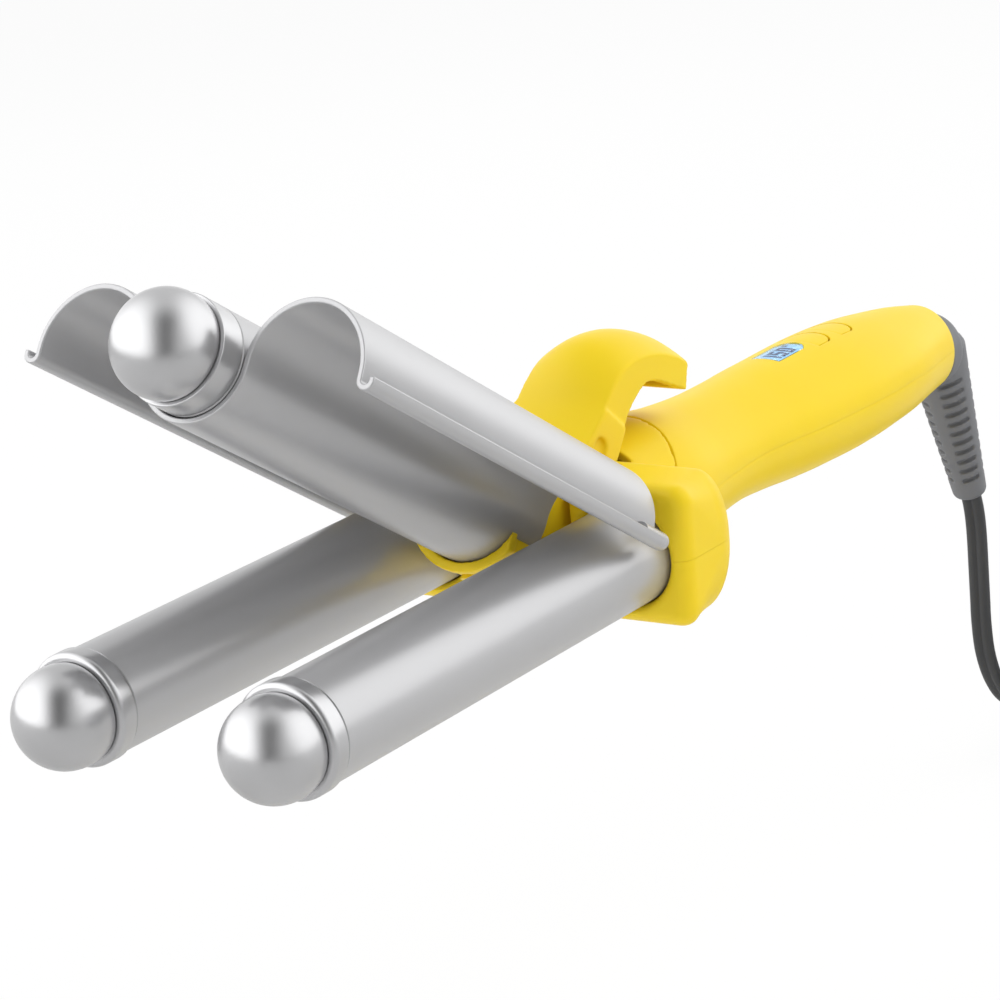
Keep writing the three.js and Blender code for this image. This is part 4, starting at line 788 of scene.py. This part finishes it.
def halves(whole, names):
    """The upper and lower parts of a moulding that is parted level, a hair's breadth apart."""
    pieces = []
    for name, side in zip(names, (1, -1)):
        half = whole.copy()
        half.name = name
        half.data = whole.data.copy()
        bpy.context.scene.collection.objects.link(half)
        form = bmesh.new()
        form.from_mesh(half.data)
        cut = bmesh.ops.bisect_plane(
            form, geom=form.verts[:] + form.edges[:] + form.faces[:], dist=1e-7,
            plane_co=(0, 0, side * HALVES_GAP / 2 * MM), plane_no=(0, 0, side), clear_inner=True,
        )
        rim = [e for e in cut["geom_cut"] if isinstance(e, bmesh.types.BMEdge)]
        bmesh.ops.triangle_fill(form, edges=rim, use_beauty=True)
        bmesh.ops.recalc_face_normals(form, faces=form.faces)
        form.to_mesh(half.data)
        form.free()
        shade(half, sharp=50)
        pieces.append(half)
    bpy.data.objects.remove(whole)
    return pieces


upper, lower = halves(housing, ("housing_upper_shell", "housing_lower_shell"))
set_on(upper, "root", "housing_upper", yellow)
set_on(lower, "root", "housing_lower", yellow)

# The handle: two shells of the yellow plastic behind the seam, closed from below by two screws.
# They swell to the grip and taper to the tail, with a window and two buttons let into the top.
TAIL_Y = 52.0
TAIL_ROUND = 1.8
TAIL_STEPS = 8
TAIL_WALL = 3.0
TAIL_Z = -4.8
HANDLE_WALL = 2.4
HOLLOW_FRONT = -137
STEM_HOLE = 6.8
FLANGE_ROOM = 10.3
SEAM_GAP = 0.14
PARTING_GAP = 0.03
PARTING_REACH = (-170, 82, 2)
HANDLE_SCREWS = (-84.0, 30.0)
SCREW_RISE = 1.4
BOSS_RADIUS = 4.2
BOSS_BELOW = 1.6
BOSS_ABOVE = 3
WINDOW_GAP = 0.2
BUTTON_GAP = 0.22
WINDOW_Y = -30.0
WINDOW_HALF = 4.3
WINDOW_LENGTH = 17.0
BUTTON_HALF = 6.4
BUTTON_LENGTH = 9.6
BUTTON_BOW = 4.6
TEMPERATURE_Y = -10.0
POWER_Y = 3.0
BOW_STEPS = 24


def d_outline(half, front, rear, bow):
    """An outline that is straight in front and bowed behind."""
    outline = [(-half, front), (half, front)]
    for i in range(BOW_STEPS + 1):
        angle = math.pi * i / BOW_STEPS
        outline.append((half * math.cos(angle), rear - bow + bow * math.sin(angle)))
    return outline


def window_outline(grow):
    """The window's outline, grown on every side."""
    half = WINDOW_HALF + grow
    reach = WINDOW_LENGTH / 2 + grow
    return d_outline(half, WINDOW_Y - reach, WINDOW_Y + reach, half)


def button_outline(rear, grow):
    """A button's outline, grown on every side."""
    return d_outline(BUTTON_HALF + grow, rear - BUTTON_LENGTH - grow, rear + grow, BUTTON_BOW)


start = TAIL_Y - TAIL_ROUND
count = round((start - NECK_FRONT) / 2)
rings = [handle_ring(NECK_FRONT + (start - NECK_FRONT) * i / count, 0) for i in range(count)]
for i in range(TAIL_STEPS + 1):
    angle = math.pi / (2 * TAIL_STEPS) * i
    inset = TAIL_ROUND * (1 - math.cos(angle))
    rings.append(handle_ring(start + TAIL_ROUND * math.sin(angle), inset))
handle = skin("handle", rings)
carve(handle, ahead_of_seam(SEAM_GAP))
carve(handle, handle_form("hollow", HANDLE_WALL, HOLLOW_FRONT, TAIL_Y - TAIL_WALL, 3.0))
carve(handle, turned("stem_hole", [
    (0, TAIL_Y - 10), (FLANGE_ROOM, TAIL_Y - 10), (FLANGE_ROOM, TAIL_Y - TAIL_WALL),
    (STEM_HOLE, TAIL_Y - TAIL_WALL), (STEM_HOLE, TAIL_Y + 5), (0, TAIL_Y + 5),
], 0, TAIL_Z))
for outline in (window_outline(WINDOW_GAP), button_outline(TEMPERATURE_Y, BUTTON_GAP),
                button_outline(POWER_Y, BUTTON_GAP)):
    carve(handle, extruded("opening", outline, 0, ABOVE, "XY"))
for y in HANDLE_SCREWS:
    seat = read_line(3, y) - read_line(2, y) + HANDLE_WALL + SCREW_RISE
    boss = circle(0, y, BOSS_RADIUS)
    well = circle(0, y, WELL_RADIUS)
    carve(handle, extruded("boss", boss, seat - BOSS_BELOW, seat + BOSS_ABOVE, "XY"), "UNION")
    carve(handle, extruded("well", well, seat - WELL_REACH, seat + WELL_PLAY, "XY"))
# Both shells meet along the line through the middles of the sections
parting = []
for y in range(*PARTING_REACH):
    parting.append((y, read_line(3, min(max(y, NECK_FRONT), TAIL_Y - 0.1))))
for name, node, side in (
    ("handle_upper_shell", "handle_upper", 1),
    ("handle_lower_shell", "handle_lower", -1),
):
    shell = handle.copy()
    shell.name = name
    shell.data = handle.data.copy()
    bpy.context.scene.collection.objects.link(shell)
    line = [(y, z + side * PARTING_GAP) for y, z in parting]
    outline = line + [(line[-1][0], side * ABOVE), (line[0][0], side * ABOVE)]
    carve(shell, extruded("half", outline, -ABOVE, ABOVE, "YZ"), "INTERSECT")
    soften(shell, width=0.22, segments=2)
    bake(shell)
    shade(shell, sharp=40)
    set_on(shell, "root", node, yellow)
bpy.data.objects.remove(handle)

# The window is a clear plastic panel let into the top of the handle. A thin panel under it glows
# pale blue, and dark blue bars on that show 150 and a degree square.
WINDOW_THICKNESS = 0.6
LAYER_ROOM = 6
BARS_DEPTH = WINDOW_THICKNESS + 0.08
DISPLAY_TOP = WINDOW_THICKNESS + 0.15
DISPLAY_BOTTOM = WINDOW_THICKNESS + 0.7
DISPLAY_MARGIN = 1.0
DIGITS_FRONT = WINDOW_Y - 7.2
SEGMENTS = {"1": "bc", "5": "afgcd", "0": "abcdef"}
DIGIT = (3.2, 5.6)
DIGIT_GAP = 0.9
BAR = 1.1
DEGREE = 1.6
DEGREE_BAR = 0.5
BAR_STEPS = 4


def layer(name, outline, top, bottom):
    """A panel that follows the handle's skin between two depths under it."""
    front = min(y for _, y in outline) - LAYER_ROOM
    rear = max(y for _, y in outline) + LAYER_ROOM
    panel = extruded(name, outline, 0, ABOVE, "XY")
    carve(panel, handle_form("above", top, front, rear), "INTERSECT")
    carve(panel, handle_form("below", bottom, front - 2, rear + 2))
    return panel


def softened(piece, width):
    """Rounds the edges of a small moulding and keeps them in its mesh."""
    soften(piece, width)
    bake(piece)
    shade(piece, sharp=40)


clear_plastic = finish(
    "window_clear", (0.8, 0.9, 0.98), (0.84, 0.93, 1.0), (0.02, 0.05),
    scale=500, bump=0.005, clouds=60,
    Transmission_Weight=1.0, IOR=1.1, Specular_IOR_Level=0.15,
)
window = layer("display_window_panel", window_outline(0), 0.0, WINDOW_THICKNESS)
softened(window, width=0.25)
set_on(window, "root", "display_window", clear_plastic)
glow = finish(
    "display", (0.26, 0.45, 0.62), (0.32, 0.51, 0.68), (0.5, 0.56),
    scale=700, bump=0.02, clouds=90,
    Emission_Strength=0.12, Emission_Color=(0.46, 0.76, 0.98, 1.0),
)
dress(nodes["display_module"], glow)
panel = layer("display_panel", window_outline(DISPLAY_MARGIN), DISPLAY_TOP, DISPLAY_BOTTOM)
softened(panel, width=0.1)
dress(panel, glow)
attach(panel, "root")
ink = finish(
    "display_bars", (0.004, 0.012, 0.08), (0.006, 0.018, 0.11), (0.6, 0.7), scale=700, bump=0.02,
)
across, up = DIGIT
# Each bar of a digit, from one x to another and one y to another: the digit's top is towards -X
spans = {
    "a": (-up / 2, -up / 2 + BAR, 0, across), "d": (up / 2 - BAR, up / 2, 0, across),
    "g": (-BAR / 2, BAR / 2, 0, across), "b": (-up / 2, 0, across - BAR, across),
    "c": (0, up / 2, across - BAR, across), "f": (-up / 2, 0, 0, BAR), "e": (0, up / 2, 0, BAR),
}
bars = []
digit_y = DIGITS_FRONT
for digit in "150":
    for letter in SEGMENTS[digit]:
        x0, x1, y0, y1 = spans[letter]
        bars.append((x0, x1, digit_y + y0, digit_y + y1))
    digit_y += across + DIGIT_GAP
inside = DEGREE - DEGREE_BAR
for x0, x1, y0, y1 in (
    (0, DEGREE, 0, DEGREE_BAR), (0, DEGREE, inside, DEGREE),
    (0, DEGREE_BAR, 0, DEGREE), (inside, DEGREE, 0, DEGREE),
):
    bars.append((x0 - up / 2, x1 - up / 2, digit_y + y0, digit_y + y1))
points, faces = [], []
for x0, x1, y0, y1 in bars:
    for i in range(BAR_STEPS + 1):
        x = x0 + (x1 - x0) * i / BAR_STEPS
        for y in (y0, y1):
            half_width = read_line(1, y) - BARS_DEPTH
            half_height = read_line(2, y) - BARS_DEPTH
            rise = half_height * math.sqrt(1 - (x / half_width) ** 2)
            points.append((x, y, read_line(3, y) + rise))
        if i:
            n = len(points)
            faces.append((n - 4, n - 2, n - 1, n - 3))
digits = built("display_digits", points, faces)
dress(digits, ink)
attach(digits, "root")

# The two buttons behind the window, moulded like the shell, each with a straight front and a
# bowed rear edge that stands off from the shell in a thin crescent.
CRESCENT = 0.55
CAP_SHRINK = 0.05
CAP_DEPTH = 4.6
for name, rear in (("temperature_button", TEMPERATURE_Y), ("power_button", POWER_Y)):
    cap = layer(name + "_cap", button_outline(rear - CRESCENT, -CAP_SHRINK), 0.0, CAP_DEPTH)
    softened(cap, width=0.45)
    set_on(cap, name, name, yellow)

# The boot: a rubber dome over the swivel that runs out into a tapering strain relief with four
# rows of cross slots. The swivel's hub turns with it, its flange behind the handle's tail wall.
HUB_FACE = TAIL_Y + 0.2
HUB_RADIUS = 9.8
HUB_ROOM = 10.0
HUB_REACH = 5.3
STEM_BORE = 3.8
STEM_RADIUS = 6.5
FLANGE_RADIUS = 10.0
FLANGE_FRONT = 44.8
FLANGE_REAR = 47.4
DOME_RADIUS = 11.0
DOME_SKIRT = 4.2
DOME_REACH = 11.4
DOME_STEPS = 24
BOOT_TOP = Vector((0.0, 61.5, -6.0))
BOOT_TIP = Vector((0.0, 79.5, -55.5))
BOOT_RADIUS = 9.0
BOOT_TIP_RADIUS = 5.1
BOOT_TIP_TAPER = 1.2
BOOT_TIP_ROUND = 0.35
BOOT_BACK_REACH = 0.5
BOOT_BACK_RADIUS = 0.25
BOOT_BACK_STEPS = 4
BOOT_TAPER_STEPS = 5
BOOT_SIDES = 64
BOOT_SLOT_ROWS = 4
BOOT_SLOTS = 11
BOOT_SLOT_END = 7.9
BOOT_SLOT_PITCH = 3.6
BOOT_SLOT_DEPTH = 1.7
BOOT_SLOT_WIDTH = 1.5
BOOT_SLOT_SPAN = 0.95
rubber = finish(
    "grey_rubber", (0.14, 0.143, 0.152), (0.172, 0.175, 0.185), (0.5, 0.62), scale=2500, bump=0.25,
)
run = (BOOT_TIP - BOOT_TOP).normalized()
reach = (BOOT_TIP - BOOT_TOP).length
boot_up = sideways.cross(run)
crown = DOME_REACH - DOME_SKIRT
dome = [(DOME_RADIUS, HUB_FACE)]
for i in range(DOME_STEPS):
    angle = math.pi * i / (2 * DOME_STEPS)
    height = HUB_FACE + DOME_SKIRT + crown * math.sin(angle)
    dome.append((DOME_RADIUS * math.cos(angle), height))
roof = HUB_FACE + HUB_REACH
boot = turned("cord_boot_rubber", [
    (0, roof), (HUB_ROOM, roof), (HUB_ROOM, HUB_FACE), *dome, (0, HUB_FACE + DOME_REACH),
], 0, TAIL_Z)


def boot_radius(along):
    """The strain relief's radius at some way along it."""
    return BOOT_RADIUS + (BOOT_TIP_RADIUS - BOOT_RADIUS) * along / reach


# The strain relief's outline, as way along it and radius: a round back, the taper and its lip
outline = []
for i in range(BOOT_BACK_STEPS + 1):
    angle = math.pi / (2 * BOOT_BACK_STEPS) * i
    back = -BOOT_RADIUS * math.cos(angle) * BOOT_BACK_REACH
    outline.append((back, BOOT_RADIUS * max(math.sin(angle), BOOT_BACK_RADIUS)))
for i in range(1, BOOT_TAPER_STEPS + 1):
    along = (reach - BOOT_TIP_TAPER) * i / BOOT_TAPER_STEPS
    outline.append((along, boot_radius(along)))
outline.append((reach - BOOT_TIP_ROUND, BOOT_TIP_RADIUS - BOOT_TIP_ROUND))
outline.append((reach, BOOT_TIP_RADIUS - BOOT_TIP_TAPER))
rings = []
for along, radius in outline:
    ring = []
    for n in range(BOOT_SIDES):
        angle = 2 * math.pi * n / BOOT_SIDES
        out = sideways * math.cos(angle) + boot_up * math.sin(angle)
        ring.append(BOOT_TOP + run * along + out * radius)
    rings.append(ring)
relief = skin("relief", rings)
carve(relief, turned("hub_room", [
    (0, HUB_FACE - 10), (HUB_ROOM, HUB_FACE - 10), (HUB_ROOM, roof), (0, roof),
], 0, TAIL_Z))
carve(boot, relief, "UNION")
slots = bmesh.new()
for row in range(BOOT_SLOT_ROWS):
    turn = math.radians(45 + 360 / BOOT_SLOT_ROWS * row)
    out = sideways * math.cos(turn) + boot_up * math.sin(turn)
    across = run.cross(out)
    for n in range(BOOT_SLOTS):
        along = reach - BOOT_SLOT_END - n * BOOT_SLOT_PITCH
        radius = boot_radius(along)
        middle = BOOT_TOP + run * along + out * radius
        stand = Matrix.Scale(MM, 4) @ Matrix.Translation(middle)
        stretch = Matrix((
            out * (2 * BOOT_SLOT_DEPTH), across * (radius * BOOT_SLOT_SPAN), run * BOOT_SLOT_WIDTH,
        )).transposed().to_4x4()
        bmesh.ops.create_cube(slots, size=1.0, matrix=stand @ stretch)
mesh = bpy.data.meshes.new("slots")
slots.to_mesh(mesh)
slots.free()
cutter = bpy.data.objects.new("slots", mesh)
bpy.context.scene.collection.objects.link(cutter)
carve(boot, cutter)
moulded(boot, voxel=0.4, passes=3)
set_on(boot, "swivel", "cord_boot", rubber)
hub_end = roof - SEAT_GAP
hub = turned("swivel_hub_turning", [
    (STEM_BORE, FLANGE_FRONT), (FLANGE_RADIUS, FLANGE_FRONT),
    (FLANGE_RADIUS, FLANGE_REAR), (STEM_RADIUS, FLANGE_REAR),
    (STEM_RADIUS, HUB_FACE), (HUB_RADIUS, HUB_FACE),
    (HUB_RADIUS, hub_end), (STEM_BORE, hub_end), (STEM_BORE, FLANGE_FRONT),
], 0, TAIL_Z)
shade(hub)
set_on(hub, "swivel", "swivel_hub", rubber)

# The parts that stay as the solid model has them, each with its own finish: screws, pin, spring,
# board, switches, heaters, washer, tie and plug. A narrow rounding eases their edges.
steel = finish(
    "steel", (0.45, 0.46, 0.48), (0.55, 0.56, 0.58), (0.25, 0.4),
    metallic=1.0, scale=1500, bump=0.1,
)
aluminium = finish(
    "aluminium", (0.5, 0.51, 0.52), (0.6, 0.61, 0.62), (0.35, 0.5),
    metallic=1.0, scale=1200, bump=0.2,
)
brass = finish(
    "brass", (0.6, 0.43, 0.16), (0.72, 0.54, 0.24), (0.25, 0.38),
    metallic=1.0, scale=1500, bump=0.08,
)
board = finish(
    "board", (0.01, 0.12, 0.045), (0.02, 0.2, 0.07), (0.3, 0.45), scale=700, bump=0.1, clouds=200,
)
dark = finish(
    "dark_plastic", (0.018, 0.018, 0.02), (0.03, 0.03, 0.033), (0.45, 0.6), scale=1500, bump=0.2,
)
for material, names in (
    (yellow, ["clamp_screw"]),
    (steel, ["hinge_pin", "torsion_spring", "housing_screw_left", "housing_screw_right",
             "handle_screw_front", "handle_screw_rear"]),
    (aluminium, ["heater_left", "heater_right", "heater_centre"]),
    (brass, ["swivel_washer", "plug_blade_left", "plug_blade_right"]),
    (board, ["circuit_board"]),
    (dark, ["power_switch", "temperature_switch", "cord_tie"]),
    (rubber, ["plug_body"]),
):
    for name in names:
        dress(nodes[name], material)
        soften(nodes[name], width=0.15, segments=2, sharp=40)

# The floor is plain and pale, and the studio is lit by four soft lights. What the metal mirrors
# is a white room with two bright panels, a bright horizon behind and a dark strip at the camera.
FLOOR_HALF = 6
FLOOR_DROP = 0.0002
FLOOR_TONE = 0.9
FLOOR_TONE_IN_GLOSS = 0.65
FLOOR_WHITENING = 0.93
floor = bpy.data.objects.new("floor", bpy.data.meshes.new("floor"))
floor_z = cad_box[0][2] - FLOOR_DROP
floor.data.from_pydata([
    (-FLOOR_HALF, -FLOOR_HALF, floor_z), (FLOOR_HALF, -FLOOR_HALF, floor_z),
    (FLOOR_HALF, FLOOR_HALF, floor_z), (-FLOOR_HALF, FLOOR_HALF, floor_z),
], [], [(0, 1, 2, 3)])
bpy.context.scene.collection.objects.link(floor)
paper = bpy.data.materials.new("floor_paper")
paper.use_nodes = True
tree = paper.node_tree
shader = tree.nodes["Principled BSDF"]
tone = tree.nodes.new("ShaderNodeMix")
tone.data_type = "RGBA"
tone.inputs["A"].default_value = (*[FLOOR_TONE] * 3, 1.0)
tone.inputs["B"].default_value = (*[FLOOR_TONE_IN_GLOSS] * 3, 1.0)
shader.inputs["Roughness"].default_value = 0.9
shine = tree.nodes.new("ShaderNodeEmission")
shine.inputs["Strength"].default_value = 1.0
light_path = tree.nodes.new("ShaderNodeLightPath")
share = tree.nodes.new("ShaderNodeMath")
share.operation = "MULTIPLY"
share.inputs[1].default_value = FLOOR_WHITENING
mix = tree.nodes.new("ShaderNodeMixShader")
tree.links.new(light_path.outputs["Is Glossy Ray"], tone.inputs["Factor"])
tree.links.new(tone.outputs["Result"], shader.inputs["Base Color"])
tree.links.new(light_path.outputs["Is Camera Ray"], share.inputs[0])
tree.links.new(share.outputs[0], mix.inputs[0])
tree.links.new(shader.outputs[0], mix.inputs[1])
tree.links.new(shine.outputs[0], mix.inputs[2])
tree.links.new(mix.outputs[0], tree.nodes["Material Output"].inputs["Surface"])
floor.data.materials.append(paper)

world = bpy.data.worlds.new("studio")
bpy.context.scene.world = world
world.use_nodes = True
tree = world.node_tree
backdrop = tree.nodes["Background"]
backdrop.inputs["Color"].default_value = (1.0, 1.0, 1.0, 1.0)
backdrop.inputs["Strength"].default_value = 1.0
room = tree.nodes.new("ShaderNodeBackground")
place = tree.nodes.new("ShaderNodeTexCoord")
LEFT_PANEL = Vector((-0.78, -0.61, 0.14)).normalized()
RIGHT_PANEL = Vector((0.68, 0.66, 0.32)).normalized()
ACROSS = Vector((0.875, 0.485, 0.0)).normalized()
AHEAD = Vector((0.485, -0.875, 0.0)).normalized()
UPRIGHT = Vector((0.0, 0.0, 1.0))


def arithmetic(operation, *values):
    """A sum or product of other nodes' outputs and plain numbers."""
    step = tree.nodes.new("ShaderNodeMath")
    step.operation = operation
    for socket, value in zip(step.inputs, values):
        if isinstance(value, float):
            socket.default_value = value
        else:
            tree.links.new(value, socket)
    return step.outputs[0]


def lean(toward, start, end, low, high, both_ways=False):
    """A smooth step over how far a ray leans toward the given direction."""
    wall = tree.nodes.new("ShaderNodeVectorMath")
    wall.operation = "DOT_PRODUCT"
    wall.inputs[1].default_value = toward
    tree.links.new(place.outputs["Generated"], wall.inputs[0])
    amount = wall.outputs["Value"]
    if both_ways:
        amount = arithmetic("ABSOLUTE", amount)
    ramp = tree.nodes.new("ShaderNodeMapRange")
    ramp.interpolation_type = "SMOOTHSTEP"
    ramp.inputs["From Min"].default_value = start
    ramp.inputs["From Max"].default_value = end
    ramp.inputs["To Min"].default_value = low
    ramp.inputs["To Max"].default_value = high
    tree.links.new(amount, ramp.inputs["Value"])
    return ramp.outputs["Result"]


left_panel = lean(LEFT_PANEL, start=0.25, end=0.9, low=1.0, high=2.7)
right_panel = lean(RIGHT_PANEL, start=0.4, end=0.92, low=1.05, high=2.3)
panels = arithmetic("MULTIPLY", left_panel, right_panel)
dark_strip = lean(ACROSS, start=0.05, end=0.62, low=0.04, high=1.0, both_ways=True)
near_camera = lean(AHEAD, start=-0.2, end=0.5, low=0.0, high=1.0)
dark_strip = arithmetic("MULTIPLY_ADD", near_camera, arithmetic("SUBTRACT", dark_strip, 1.0), 1.0)
level = lean(UPRIGHT, start=0.02, end=0.2, low=0.8, high=0.0, both_ways=True)
behind = lean(-AHEAD, start=0.6, end=0.9, low=0.0, high=1.0)
horizon = arithmetic("MULTIPLY", level, behind)
brightness = arithmetic("MULTIPLY_ADD", panels, dark_strip, horizon)
tree.links.new(brightness, room.inputs["Strength"])
# A dimmer room gives the soft light, so that the lamps shape the object
dim = tree.nodes.new("ShaderNodeBackground")
dim.inputs["Strength"].default_value = 0.5
light_path = tree.nodes.new("ShaderNodeLightPath")
by_gloss = tree.nodes.new("ShaderNodeMixShader")
by_camera = tree.nodes.new("ShaderNodeMixShader")
tree.links.new(light_path.outputs["Is Glossy Ray"], by_gloss.inputs[0])
tree.links.new(dim.outputs[0], by_gloss.inputs[1])
tree.links.new(room.outputs[0], by_gloss.inputs[2])
tree.links.new(light_path.outputs["Is Camera Ray"], by_camera.inputs[0])
tree.links.new(by_gloss.outputs[0], by_camera.inputs[1])
tree.links.new(backdrop.outputs[0], by_camera.inputs[2])
tree.links.new(by_camera.outputs[0], tree.nodes["World Output"].inputs["Surface"])

LIGHTS = [
    ("key", (1.15, 0.65, 1.25), 2.0, 26.5),
    ("fill", (-1.1, -0.7, 0.85), 1.2, 12.0),
    ("front", (0.35, -1.5, 0.4), 1.2, 4.0),
    ("rim", (-0.9, 1.0, 0.9), 0.8, 5.0),
]
LIGHTS_AIM = Vector((0.0, -0.1, 0.0))
for name, spot, size, power in LIGHTS:
    data = bpy.data.lights.new(name, "AREA")
    data.size = size
    data.energy = power
    lamp = bpy.data.objects.new(name, data)
    bpy.context.scene.collection.objects.link(lamp)
    lamp.location = spot
    aim = LIGHTS_AIM - Vector(spot)
    lamp.rotation_euler = aim.to_track_quat("-Z", "Y").to_euler()
    lamp.visible_glossy = False
bpy.context.scene.view_settings.view_transform = "Standard"
